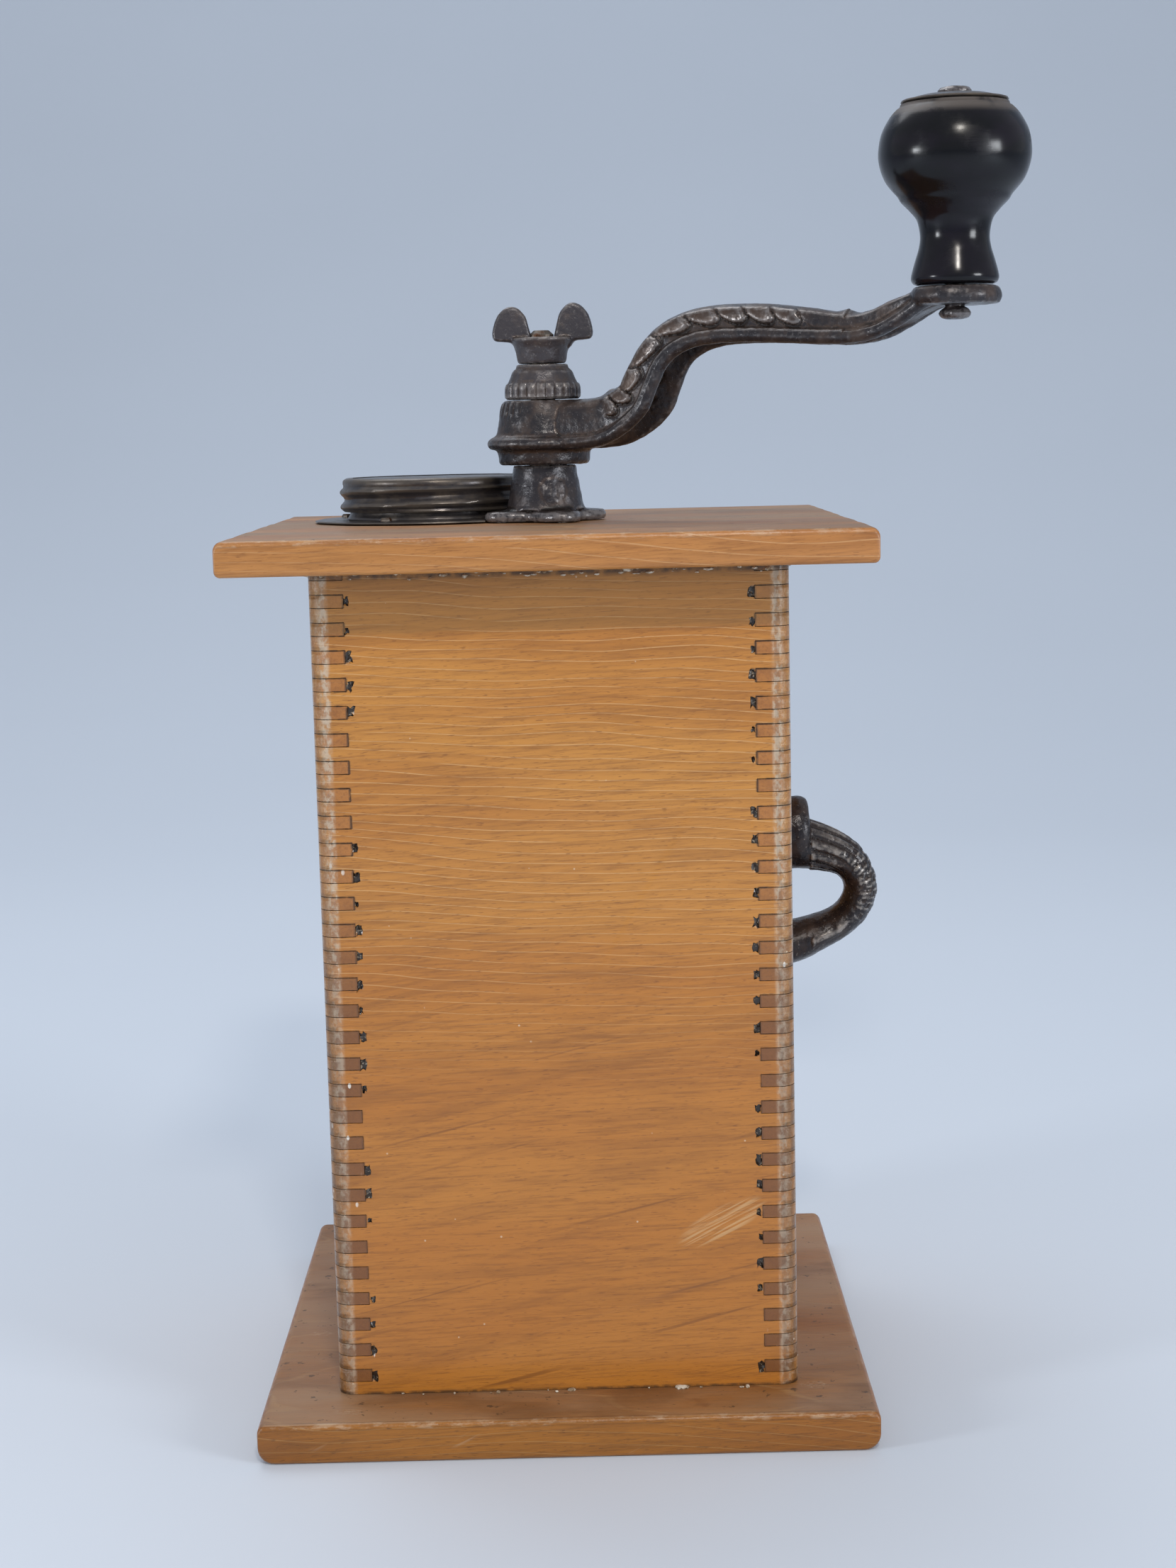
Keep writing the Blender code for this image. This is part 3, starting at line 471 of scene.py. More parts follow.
def iron(name, dark, worn, dust, roughness, grain):
    """Old painted casting: brown dust in the hollows and in patches, painted shade in the deepest hollows,
    and bare metal with a painted highlight on what stands proud.
    """
    paint = Paint(name, roughness=roughness, metallic=0.3)
    hollow = paint.attribute("hollow")
    patches = paint.noise(8.0, detail=5.0, roughness=0.62)
    paint.colour = dark
    paint.lay(paint.between(patches, 0.45, 0.7), 0.45, dust)
    paint.lay(paint.between(hollow, 0.1, 0.6), 0.5, dust)
    lying = paint.between(paint.axis("Z", paint.normal), 0.25, 0.95)
    paint.lay(paint.both(lying, paint.spots(0.3, 0.6, 2.6, detail=4.0)), 0.4, dust)
    paint.lay(paint.attribute("dusty"), 0.7, dust)
    # painted shade: near black in the deepest hollows and grooves
    paint.lay(paint.between(hollow, 0.4, 0.85), 0.8, srgb(20, 16, 15))
    # pale wear where the casting stands proud, which is also a painted highlight on ridges and rims
    proud = paint.between(paint.attribute("proud"), 0.3, 0.95)
    rub_and_highlight = paint.both(proud, paint.spots(0.25, 0.6, 1.4, detail=3.0))
    paint.lay(rub_and_highlight, 0.55, worn)
    paint.lay(paint.spots(0.6, 0.7, 0.9, detail=3.0, roughness=0.7), 0.3, worn)
    gloss = paint.blend_values(paint.between(patches, 0.4, 0.7), roughness - 0.06, roughness + 0.16)
    gloss = paint.minus(gloss, paint.times(rub_and_highlight, 0.12))
    fine = paint.noise(0.7, detail=4.0, roughness=0.65)
    coarse = paint.noise(3.2, detail=4.0, roughness=0.6)
    return paint.finish(gloss, paint.bump(fine, grain * 0.6, paint.bump(coarse, grain * 2.0)))


def sheet_iron():
    """Dark sheet with brighter patches, spots and rubbed rims."""
    paint = Paint("cap_iron", roughness=0.34, metallic=0.5)
    patches = paint.noise(6.0, (1, 1, 2.0), detail=5.0, roughness=0.6)
    paint.colour = paint.mix(paint.between(patches, 0.4, 0.68), srgb(62, 58, 59), srgb(86, 78, 71))
    paint.lay(paint.spots(0.62, 0.72, 1.1, detail=3.0, roughness=0.7), 0.5, srgb(30, 26, 24))
    paint.lay(paint.between(paint.attribute("proud"), 0.4, 1.0), 0.4, srgb(110, 100, 88))
    gloss = paint.blend_values(paint.between(patches, 0.4, 0.7), 0.28, 0.46)
    return paint.finish(gloss, paint.bump(paint.noise(2.6, detail=5.0), 0.1))


def steel():
    """Screws, spindle and spring, with rust in patches."""
    paint = Paint("rusty_steel", roughness=0.45, metallic=0.8)
    patches = paint.noise(2.5, detail=5.0, roughness=0.65)
    paint.colour = paint.mix(paint.between(patches, 0.42, 0.66), srgb(96, 88, 80), srgb(84, 56, 38))
    return paint.finish(paint.blend_values(patches, 0.35, 0.6), paint.bump(patches, 0.08))


def lacquer():
    """Glossy black lacquer with hairline scratches, and dust dulling its top shoulder."""
    paint = Paint("black_lacquer_gloss", roughness=0.2)
    paint.fill(paint.shader, {"Specular IOR Level": 0.3})
    tint = paint.spots(0.35, 0.7, 14.0, (1, 1, 2.0), detail=3.0)
    paint.colour = paint.mix(tint, srgb(9, 9, 12), srgb(18, 14, 22))
    dusty = paint.both(paint.between(paint.height(), 350.6, 353.0), paint.spots(0.2, 0.5, 5.0, detail=4.0))
    paint.lay(dusty, 0.75, srgb(92, 84, 78))
    hair = paint.noise(0.9, (0.25, 0.25, 2.4), detail=3.0, roughness=0.7)
    worn = paint.spots(0.5, 0.7, 9.0, detail=4.0)
    gloss = paint.plus(0.18, paint.times(paint.both(hair, worn), 0.3))
    gloss = paint.plus(gloss, paint.times(dusty, 0.3))
    return paint.finish(gloss, paint.bump(paint.noise(7.0, detail=1.0), 0.03, paint.bump(hair, 0.006)))


def cork():
    paint = Paint("cork_grain", roughness=0.9)
    paint.colour = paint.mix(paint.between(paint.cells(1.6), 0.2, 0.5), srgb(176, 130, 84), srgb(122, 82, 50))
    return paint.finish(None, paint.bump(paint.noise(1.2, detail=5.0), 0.3))


def crumb():
    paint = Paint("dried_dust", roughness=0.9)
    paint.colour = paint.mix(paint.spots(0.4, 0.6, 2.0), srgb(210, 200, 182), srgb(140, 118, 92))
    return paint.finish()


CASE_ALONG_X = case_wood("case_wood_x", "X", (0.0, 0.0, 0.0))
CASE_ALONG_Y = case_wood("case_wood_y", "Y", (0.7, 0.3, 0.2))
TOP_WOOD = board_wood("top_wood", TOP_BOARD_WOOD, TOP_HALF, TOP_HIGH, (0.1, 0.2, 0.3), srgb(126, 108, 82))
BASE_WOOD = board_wood("base_wood", BASE_BOARD_WOOD, BASE_HALF, BASE_HIGH, (0.5, 0.7, 0.9),
                       srgb(158, 128, 98))
BARE_WOOD = bare_wood()
ARM_IRON = iron("arm_iron", srgb(43, 40, 43), srgb(146, 141, 139), srgb(84, 65, 52), 0.3, 0.1)
HANDLE_IRON = iron("handle_iron", srgb(32, 28, 31), srgb(182, 174, 166), srgb(74, 58, 48), 0.29, 0.12)
POST_IRON = iron("post_iron", srgb(46, 43, 47), srgb(142, 136, 134), srgb(76, 62, 54), 0.29, 0.12)
NUT_IRON = iron("nut_iron", srgb(66, 62, 65), srgb(144, 138, 134), srgb(94, 78, 66), 0.36, 0.12)
BURR_IRON = iron("burr_iron", srgb(58, 54, 50), srgb(130, 120, 110), srgb(80, 62, 50), 0.5, 0.1)
CAP_IRON = sheet_iron()
STEEL = steel()
LACQUER = lacquer()
CORK = cork()
CRUMB = crumb()


# Making meshes


def smooth_line(points, spacing=0.5):
    """Points along a curve through the given ones; a point given twice is a corner."""
    points = [np.array(p, float) for p in points]
    line = []
    for i in range(len(points) - 1):
        a, b = points[i], points[i + 1]
        before = points[max(i - 1, 0)]
        after = points[min(i + 2, len(points) - 1)]
        length = float(np.linalg.norm((b - a)[:2]))
        if length == 0:
            continue
        count = max(int(length / spacing), 1)
        for step in range(count):
            u = step / count
            line.append(
                a * (1 - 2.5 * u * u + 1.5 * u**3) + b * (0.5 * u + 2 * u * u - 1.5 * u**3)
                + before * (-0.5 * u + u * u - 0.5 * u**3) + after * (-0.5 * u * u + 0.5 * u**3)
            )
    line.append(points[-1])
    return line


def sharp(out, height):
    """A point of a profile where it turns sharply."""
    return (out, height), (out, height)


def linked(name, data):
    """A new object in the scene for a mesh, a lamp or a camera."""
    thing = bpy.data.objects.new(name, data)
    bpy.context.scene.collection.objects.link(thing)
    return thing


def mesh_object(name, points, faces, at=UP):
    mesh = bpy.data.meshes.new(name)
    points = np.asarray(points, float) * MM
    turn = np.array(at.to_3x3())
    shift = np.array(at.translation) * MM
    mesh.from_pydata((points @ turn.T + shift).tolist(), [], faces)
    bm = bmesh.new()
    bm.from_mesh(mesh)
    bmesh.ops.recalc_face_normals(bm, faces=bm.faces)
    bm.to_mesh(mesh)
    bm.free()
    return linked(name, mesh)


def ring_faces(rings, steps, closed):
    faces = []
    for ring in range(rings if closed else rings - 1):
        above = (ring + 1) % rings
        for step in range(steps):
            beside = (step + 1) % steps
            low, high = ring * steps, above * steps
            faces.append((low + step, low + beside, high + beside, high + step))
    return faces


def end_caps(rings, steps):
    last = (rings - 1) * steps
    return [tuple(reversed(range(steps))), tuple(range(last, last + steps))]


def lathe(name, profile, steps, at=UP, reach=None, spacing=0.5):
    """Turns a smoothed profile about Z; reach(radius, angle, height) reshapes each ring.

    A profile that starts and ends on the axis is closed by flat fans, and any other one closes into a ring.
    """
    on_axis = profile[0][0] == 0
    line = smooth_line(profile if on_axis else [*profile, profile[0]], spacing)
    if not on_axis:
        line = line[:-1]
    points = []
    for radius, height in line:
        for step in range(steps):
            angle = 2 * math.pi * step / steps
            out = max(radius, 0.02)
            if reach:
                out = reach(out, angle, height)
            points.append((out * math.cos(angle), out * math.sin(angle), height))
    faces = ring_faces(len(line), steps, closed=not on_axis)
    if on_axis:
        faces += end_caps(len(line), steps)
    return mesh_object(name, points, faces, at)


def bore(name, radius, low, high, steps, at, reach=None):
    """A cylinder that cuts a hole."""
    profile = [*sharp(0, low), *sharp(radius, low), *sharp(radius, high), (0, high)]
    return lathe(name, profile, steps, at, reach, spacing=30)


def loft(name, sections, at=UP):
    steps = len(sections[0])
    points = [p for section in sections for p in section]
    faces = ring_faces(len(sections), steps, closed=False) + end_caps(len(sections), steps)
    return mesh_object(name, points, faces, at)


def shade(thing, angle=35.0):
    thing.data.shade_smooth()
    thing.data.set_sharp_from_angle(angle=math.radians(angle))


def evaluated(thing):
    """Bakes the object's modifiers into its mesh."""
    graph = bpy.context.evaluated_depsgraph_get()
    mesh = bpy.data.meshes.new_from_object(thing.evaluated_get(graph))
    thing.modifiers.clear()
    thing.data = mesh


def joined(name, things):
    """One object from several, with their shells left as they are."""
    bm = bmesh.new()
    for thing in things:
        bm.from_mesh(thing.data)
        bpy.data.objects.remove(thing)
    mesh = bpy.data.meshes.new(name)
    bm.to_mesh(mesh)
    bm.free()
    return linked(name, mesh)


def cast(thing, voxel, softness):
    """Melts overlapping shells into one casting with rounded edges."""
    remesh = thing.modifiers.new("Remesh", "REMESH")
    remesh.mode = "VOXEL"
    remesh.voxel_size = voxel * MM
    soften = thing.modifiers.new("Smooth", "SMOOTH")
    soften.iterations = softness
    soften.factor = 0.5
    evaluated(thing)
    return thing


def arrays(mesh):
    co = np.empty(len(mesh.vertices) * 3, np.float32)
    mesh.vertices.foreach_get("co", co)
    normals = np.empty(len(mesh.vertices) * 3, np.float32)
    mesh.vertices.foreach_get("normal", normals)
    return co.reshape(-1, 3).astype(float) / MM, normals.reshape(-1, 3).astype(float)


def lumps(points, size, seed=0.0):
    """Smooth noise at each point, from about -1 to 1, with features of that size."""
    shift = Vector((seed, seed * 1.7, seed * 2.3))
    return np.array([noise.fractal(Vector(p) / size + shift, 1.0, 2.0, 2) for p in points])


def mark(mesh, name, values):
    """Gives each vertex a value from 0 to 1, which the paint reads by that name."""
    attribute = mesh.attributes.new(name, "FLOAT", "POINT")
    attribute.data.foreach_set("value", np.clip(values, 0, 1).astype(np.float32))


def work(thing, raised=None, rough=0.08, size=2.5, seed=0.0, at=UP):
    """Works a casting's surface: a relief in the piece's own frame, and the unevenness of cast metal.

    It marks what stands proud, what lies hollow and where raised() says that dust has settled, for the paint.
    """
    mesh = thing.data
    points, normals = arrays(mesh)
    relief = np.zeros(len(points))
    if raised:
        back = np.array(at.inverted().to_3x3())
        local = (points - np.array(at.translation)) @ back.T
        relief, dusty = raised(local, normals @ back.T)
        mark(mesh, "dusty", dusty)
    uneven = lumps(points, size, seed=seed)
    points = points + normals * (relief + uneven * rough)[:, None]
    mesh.vertices.foreach_set("co", (points * MM).astype(np.float32).ravel())
    mesh.update()
    bend = curvature(mesh, points, normals)
    mark(mesh, "proud", bend * 0.9 + relief * 0.5)
    mark(mesh, "hollow", -bend * 1.1 - relief * 0.4)


def neighbour_sums(edges, values):
    """For each vertex, the sum of its neighbours' values."""
    total = np.zeros_like(values)
    for here, there in ((0, 1), (1, 0)):
        np.add.at(total, edges[:, here], values[edges[:, there]])
    return total


def curvature(mesh, points, normals):
    """How far each vertex stands above the average of its neighbours, in tenths of their spacing."""
    edges = np.empty(len(mesh.edges) * 2, np.int32)
    mesh.edges.foreach_get("vertices", edges)
    edges = edges.reshape(-1, 2)
    count = np.maximum(neighbour_sums(edges, np.ones(len(points))), 1)
    average = neighbour_sums(edges, points) / count[:, None]
    spacing = np.linalg.norm(points[edges[:, 0]] - points[edges[:, 1]], axis=1).mean()
    lift = ((points - average) * normals).sum(axis=1) / spacing * 10
    for _ in range(3):
        lift = (lift + neighbour_sums(edges, lift) / count) / 2
    return lift


def piece(thing, body, material, replaced=(), angle=35.0):
    """Hands a finished mesh to the frame."""
    thing.data.materials.clear()
    thing.data.materials.append(material)
    shade(thing, angle)
    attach(thing, body)
    if replaced:
        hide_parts(*replaced)


def cut(thing, cutters):
    """Takes the cutters' shapes out of a piece."""
    tool = joined(f"{thing.name}_cutter", cutters)
    modifier = thing.modifiers.new("Cut", "BOOLEAN")
    modifier.operation = "DIFFERENCE"
    modifier.solver = "EXACT"
    modifier.use_self = True
    modifier.object = tool
    evaluated(thing)
    bpy.data.objects.remove(tool)


# Case


def corner_reach(depth):
    """Half width of the case at a depth below one of its faces, where its corners are rounded."""
    if depth >= CORNER_RADIUS:
        return CASE_HALF
    inward = CORNER_RADIUS - depth
    return CASE_HALF - CORNER_RADIUS + math.sqrt(CORNER_RADIUS**2 - inward**2)


def finger_edge(fingers_out, half):
    """Points up the edge of a case board whose fingers, or the wood between them, reach out to half."""
    within = INNER_HALF - SEAM
    slack = -SEAM if fingers_out else SEAM
    finger, other = (half, within) if fingers_out else (within, half)
    edge = [(other, CASE_LOW)]
    for number in reversed(range(FINGER_COUNT)):
        low = CASE_HIGH - FIRST_FINGER - number * FINGER_PITCH - slack
        edge += [(other, low), (finger, low)]
        if number == 0:
            edge.append((finger, CASE_HIGH))
        else:
            high = low + FINGER_HEIGHT + 2 * slack
            edge += [(finger, high), (other, high)]
    return edge


def cut_level(edge, low, high):
    """The part of an edge between two heights, with its ends cut level."""
    foot = [x for x, z in edge if z <= low][-1]
    head = [x for x, z in edge if z < high][-1]
    return [(foot, low)] + [(x, z) for x, z in edge if low < z < high] + [(head, high)]


def mirrored(edge):
    return edge + [(-x, z) for x, z in reversed(edge)]


def chips(fingers_out):
    """Where the small ragged pits are in a board's face, at the ends of its neighbour's fingers."""
    found = []
    for side in (-1, 1):
        for number in range(1, FINGER_COUNT):
            size = rng.gamma(3.0, 0.36)
            middle = CASE_HIGH - FIRST_FINGER - number * FINGER_PITCH + FINGER_HEIGHT / 2
            if fingers_out:
                middle += FINGER_PITCH / 2
            z = middle + rng.uniform(-0.5, 0.5)
            x = side * (INNER_HALF - SEAM - rng.uniform(0.6, 1.0))
            if size > 0.6:
                found.append((x, z, size, number * 7.0 + side))
    return found


def chip_pit(x, z, size, seed):
    """A ragged, boxy lump, which a cut turns into a pit."""
    bm = bmesh.new()
    bmesh.ops.create_icosphere(bm, subdivisions=2, radius=1.0)
    wide, tall = min(size, 1.2), min(size * 1.5, 1.75)
    for vert in bm.verts:
        boxy = Vector([math.copysign(abs(c) ** 0.55, c) for c in vert.co])
        boxy *= 0.85 + 0.7 * noise.noise(vert.co * 2.0 + Vector((seed, size, 0.0)))
        vert.co = (Vector((x, -CASE_HALF, z)) + Vector((boxy.x * wide, boxy.y * 0.9, boxy.z * tall))) * MM
    mesh = bpy.data.meshes.new("pit")
    bm.to_mesh(mesh)
    bm.free()
    return bpy.data.objects.new("pit", mesh)


def case_board(node, turn, fingers_out, shape=mirrored):
    """A board of the case with rounded corners; shape makes its outline from its finger-jointed edge."""
    depths = [CORNER_RADIUS * (1 - math.cos(math.radians(a))) for a in (0, 18, 36, 54, 72, 90)] + [WALL]
    sections = []
    for depth in depths:
        outline = shape(finger_edge(fingers_out, corner_reach(depth)))
        sections.append([(x, -CASE_HALF + depth, z) for x, z in outline])
    board = loft(f"{node}_wood", sections)
    low, high, left, right = [f(p[k] for p in sections[0]) for k in (2, 0) for f in (min, max)]
    found = [chip for chip in chips(fingers_out) if low < chip[1] < high and left < chip[0] < right]
    cut(board, [chip_pit(*chip) for chip in found])
    board.data.transform(Matrix.Rotation(turn, 4, "Z"))
    along_x = turn in (0.0, math.pi)
    piece(board, "case", CASE_ALONG_X if along_x else CASE_ALONG_Y, [node], angle=25.0)


def above_drawer(edge):
    return mirrored(cut_level(edge, DRAWER_TOP + 0.15, CASE_HIGH))


def beside_drawer(edge):
    inner = DRAWER_HALF + 0.3
    return [(inner, CASE_LOW), *cut_level(edge, CASE_LOW, DRAWER_TOP), (inner, DRAWER_TOP)]


def beside_drawer_mirrored(edge):
    return [(-x, z) for x, z in reversed(beside_drawer(edge))]


def board_outline(half, low, high, lower_radius, upper_radius):
    points = []
    corners = ((1, low, lower_radius, -90), (1, high, upper_radius, 0),
               (-1, high, upper_radius, 90), (-1, low, lower_radius, 180))
    for side, z, radius, start in corners:
        middle_x = side * (half - radius)
        middle_z = z + radius if z == low else z - radius
        for step in range(8):
            angle = math.radians(start + 90 * step / 7)
            points.append((middle_x + radius * math.cos(angle), middle_z + radius * math.sin(angle)))
    return points


def wide_board(node, half, low, high, lower_radius, upper_radius, material, holes=()):
    """Top or base board, with its long arrises rounded and its ends softened by handling."""
    outline = board_outline(half, low, high, lower_radius, upper_radius)
    middle = (low + high) / 2
    rows = [(0.0, 1.3), (0.15, 0.75), (0.45, 0.35), (0.85, 0.1), (1.4, 0.0)]
    rows += [(step * 4.0, 0.0) for step in range(1, 42) if 1.4 < step * 4.0 < 2 * half - 1.4]
    rows += [(2 * half - inward, drawn) for inward, drawn in reversed(rows[:5])]
    sections = []
    for along, drawn in rows:
        section = []
        for x, z in outline:
            wander = 0.16 * noise.noise(Vector((along * 0.11, x * 0.03, z * 0.2 + half)))
            x_in = x - math.copysign(drawn * 0.35, x)
            z_in = z - math.copysign(drawn, z - middle) + (wander if z > middle else 0.0)
            section.append((x_in, -half + along, min(z_in, high)))
        sections.append(section)
    board = loft(f"{node}_wood", sections)
    if holes:
        through = (low - 1, high + 1, 48)
        cut(board, [bore("hole", radius, *through, Matrix.Translation(at)) for at, radius in holes])
    piece(board, "case", material, [node], angle=40.0)


CRUMB_COUNT = 150


def make_crumbs():
    """Dried dust and old glue in the seam under the top board and round the foot of the case."""
    verts = []
    faces = []
    for number in range(CRUMB_COUNT):
        along = rng.uniform(-CASE_HALF + 2, CASE_HALF - 2)
        size = rng.gamma(2.0, 0.16) + 0.12
        at_top = rng.random() < 0.8
        z = CASE_HIGH - rng.uniform(0.8, 2.4) if at_top else CASE_LOW + 0.1
        out = CASE_HALF + (rng.uniform(-0.1, 0.2) if at_top else rng.uniform(0.2, 1.6))
        side = number % 4
        x, y = ((along, -out), (out, along), (along, out), (-out, along))[side if number % 3 else 0]
        bm = bmesh.new()
        bmesh.ops.create_icosphere(bm, subdivisions=1, radius=min(size, 0.8))
        start = len(verts)
        stretch = (rng.uniform(0.8, 2.2), rng.uniform(0.8, 2.2), rng.uniform(0.5, 0.9))
        for vert in bm.verts:
            wobble = 1 + 0.4 * noise.noise(vert.co * 3 + Vector((number, 0, 0)))
            verts.append((x + vert.co.x * stretch[0] * wobble, y + vert.co.y * stretch[1] * wobble,
                          z + vert.co.z * stretch[2]))
        faces += [tuple(start + v.index for v in face.verts) for face in bm.faces]
        bm.free()
    piece(mesh_object("seam_dust", verts, faces), "case", CRUMB)


def make_case():
    case_board("back_board", 0.0, fingers_out=False)
    case_board("handle_side_board", math.pi / 2, fingers_out=True)
    case_board("front_board", math.pi, fingers_out=False, shape=above_drawer)
    case_board("front_stile_left", math.pi, fingers_out=False, shape=beside_drawer)
    case_board("front_stile_right", math.pi, fingers_out=False, shape=beside_drawer_mirrored)
    case_board("filler_side_board", -math.pi / 2, fingers_out=True)
    holes = ((CAP_CENTRE, 19.5), (MILL_AXIS, 6.5))
    wide_board("top_board", TOP_HALF, TOP_LOW, TOP_HIGH, 1.5, 2.5, TOP_WOOD, holes)
    wide_board("base_board", BASE_HALF, 0.0, BASE_HIGH, 4.5, 2.5, BASE_WOOD)
    make_crumbs()


# Crank


# Distance from the spindle, height of the lower rims, breadth, depth and how far it is hollowed
ARM = (
    (2, 269.3, 24.0, 12.2, 0.0), (14, 269.3, 23.0, 12.2, 0.0), (22, 270.2, 22.0, 12.2, 0.3),
    (29, 273.4, 22.0, 11.6, 0.9), (34.6, 278.4, 22.0, 10.6, 1.0), (37.3, 284.2, 21.5, 10.2, 1.0),
    (40.3, 290.3, 20.5, 9.4, 1.0), (45, 294.4, 19.5, 9.0, 1.0), (53, 296.8, 18.5, 8.6, 1.0),
    (66, 297.1, 17.0, 8.4, 1.0), (80, 296.3, 15.5, 7.6, 1.0), (92, 295.8, 14.0, 6.2, 0.9),
    (100, 296.8, 13.3, 6.2, 0.6), (107, 299.8, 14.0, 6.0, 0.2), (113, 303.4, 16.0, 4.2, 0.0),
    (119, 305.8, 16.0, 1.8, 0.0),
)
BEAD = 1.7
ARM_SHELL = 3.4
LEAF_START = 25.0
LEAF_END = 84.0
LEAF_STEP = 7.6
LEAF_SLANT = 6.0


def arm_line():
    return smooth_line(ARM, 1.0)


def arm_section(rows, i):
    """Outline of the arm at one station: beaded lower rims, arched back and hollow underside."""
    out, height, breadth, depth, hollow = rows[i]
    before = rows[max(i - 1, 0)]
    after = rows[min(i + 1, len(rows) - 1)]
    along = Vector((after[0] - before[0], 0.0, after[1] - before[1])).normalized()
    upward = Vector((-along.z, 0.0, along.x))
    half = breadth / 2
    roof = -BEAD + hollow * (depth - ARM_SHELL + BEAD)
    outside = [
        (half - 3.3, -BEAD * 0.9), (half - 2.0, -BEAD * 1.1), (half - 0.6, -BEAD * 0.75), (half + 0.1, 0.0),
        (half - 0.3, BEAD * 0.8), (half - 1.5, BEAD * 1.1), (half - 1.9, depth * 0.45),
        (breadth * 0.36, depth * 0.8), (breadth * 0.2, depth * 0.97), (0.0, depth),
    ]
    underside = [(half - 3.6, -BEAD * 0.5), (breadth * 0.24, -BEAD + 0.75 * (roof + BEAD)), (0.0, roof)]
    outline = [*reversed(smooth_line(outside, 0.8)), *smooth_line(underside, 1.4)[:-1]]
    whole = outline + [(0.0, roof)] + [(-y, v) for y, v in reversed(outline[1:])]
    middle = Vector((out, 0.0, height))
    return [middle + Vector((0.0, y, 0.0)) + upward * v for y, v in whole]


def resampled(section, count):
    """The closed outline with that many evenly spaced points, so that sections can be lofted."""
    points = np.array([list(p) for p in section] + [list(section[0])])
    steps = np.linalg.norm(np.diff(points, axis=0), axis=1)
    along = np.concatenate([[0], np.cumsum(steps)])
    wanted = np.linspace(0, along[-1], count, endpoint=False)
    return np.stack([np.interp(wanted, along, points[:, k]) for k in range(3)], axis=1)


def along_arm(points, normals):
    """Where points lie on the arm, for its relief.

    Returns how far along its line they are, its depth there, how high up its side they are as a part of that
    depth, how far they face away from the line, and how far along it the leaf lobes start and end.
    """
    rows = np.array(arm_line())
    spine = rows[:, :2]
    along = np.concatenate([[0], np.cumsum(np.linalg.norm(np.diff(spine, axis=0), axis=1))])
    tangent = np.gradient(spine, axis=0)
    tangent /= np.linalg.norm(tangent, axis=1)[:, None]
    nearest = np.linalg.norm(points[:, None, [0, 2]] - spine[None], axis=2).argmin(axis=1)
    lift = points[:, [0, 2]] - spine[nearest]
    tangent = tangent[nearest]
    travelled = along[nearest] + (lift * tangent).sum(axis=1)
    depth = rows[nearest, 3]
    level = (-lift[:, 0] * tangent[:, 1] + lift[:, 1] * tangent[:, 0]) / depth
    upward = -normals[:, 0] * tangent[:, 1] + normals[:, 2] * tangent[:, 0]
    start, end = (along[np.abs(rows[:, 0] - out).argmin()] for out in (LEAF_START, LEAF_END))
    return travelled, depth, level, upward, start, end


def hub_tongues(points):
    """Small upright tongues round the top of the hub, away from the arm."""
    angle = np.arctan2(points[:, 1], points[:, 0])
    radius = np.hypot(points[:, 0], points[:, 1])
    away = np.clip((np.abs(angle) - 1.5) / 0.5, 0, 1) * (radius < 15) * (radius > 9)
    band = np.clip((points[:, 2] - 276.2) / 1.5, 0, 1) * np.clip((281.0 - points[:, 2]) / 0.8, 0, 1)
    return away * band * (0.45 * np.abs(np.sin(angle * 15)) - 0.2)


def arm_relief(points, normals):
    """Leaf lobes cast on the arm's upper sides, a bump at each end of them, and tongues round the hub."""
    travelled, depth, level, upward, start, end = along_arm(points, normals)
    phase = (travelled - start + LEAF_SLANT * (level - 0.4)) / LEAF_STEP
    lobe = phase - np.floor(phase)
    edge = 0.62 - 0.27 * np.sin(math.pi * lobe) ** 0.7
    above_edge = (level - edge) * depth
    inside = np.clip(above_edge / 0.8, 0, 1)
    slope_down = 1 - 0.55 * np.clip(above_edge / 3.5, 0, 1)
    shingle = lobe**1.4 * np.clip((1.0 - lobe) / 0.14, 0, 1)
    run = np.clip((travelled - start) / 3, 0, 1) * np.clip((end - travelled) / 8, 0, 1)
    side = np.clip((0.93 - upward) / 0.3, 0, 1)
    leaf = run * side * inside
    between_lobes = np.exp(-((np.minimum(lobe, 1 - lobe) * LEAF_STEP / 0.55) ** 2)) * inside
    groove = run * side * np.maximum(between_lobes, np.exp(-((above_edge / 0.6) ** 2)))
    relief = leaf * (0.25 + 1.3 * shingle * slope_down) - 0.4 * groove
    dusty = leaf * (1.0 - 0.5 * shingle) * (1 - groove)

    crown = np.clip((travelled - start) / 6, 0, 1) * (points[:, 0] < 92.0)
    relief += 0.35 * crown * np.clip((upward - 0.5) / 0.3, 0, 1)
    for out, reach in ((21.5, 2.1), (92.0, 2.4)):
        bump = np.linalg.norm(points[:, :2] - np.array([out, 0.0]), axis=1)
        relief += 1.1 * np.exp(-((bump / reach) ** 2)) * (normals[:, 2] > 0.3)
    return relief + hub_tongues(points), dusty


def pad_reach(radius, angle, height):
    """An uneven rim."""
    return radius + (0.25 * math.sin(3 * angle + 1) + 0.15 * math.sin(7 * angle)) * (radius > 6)


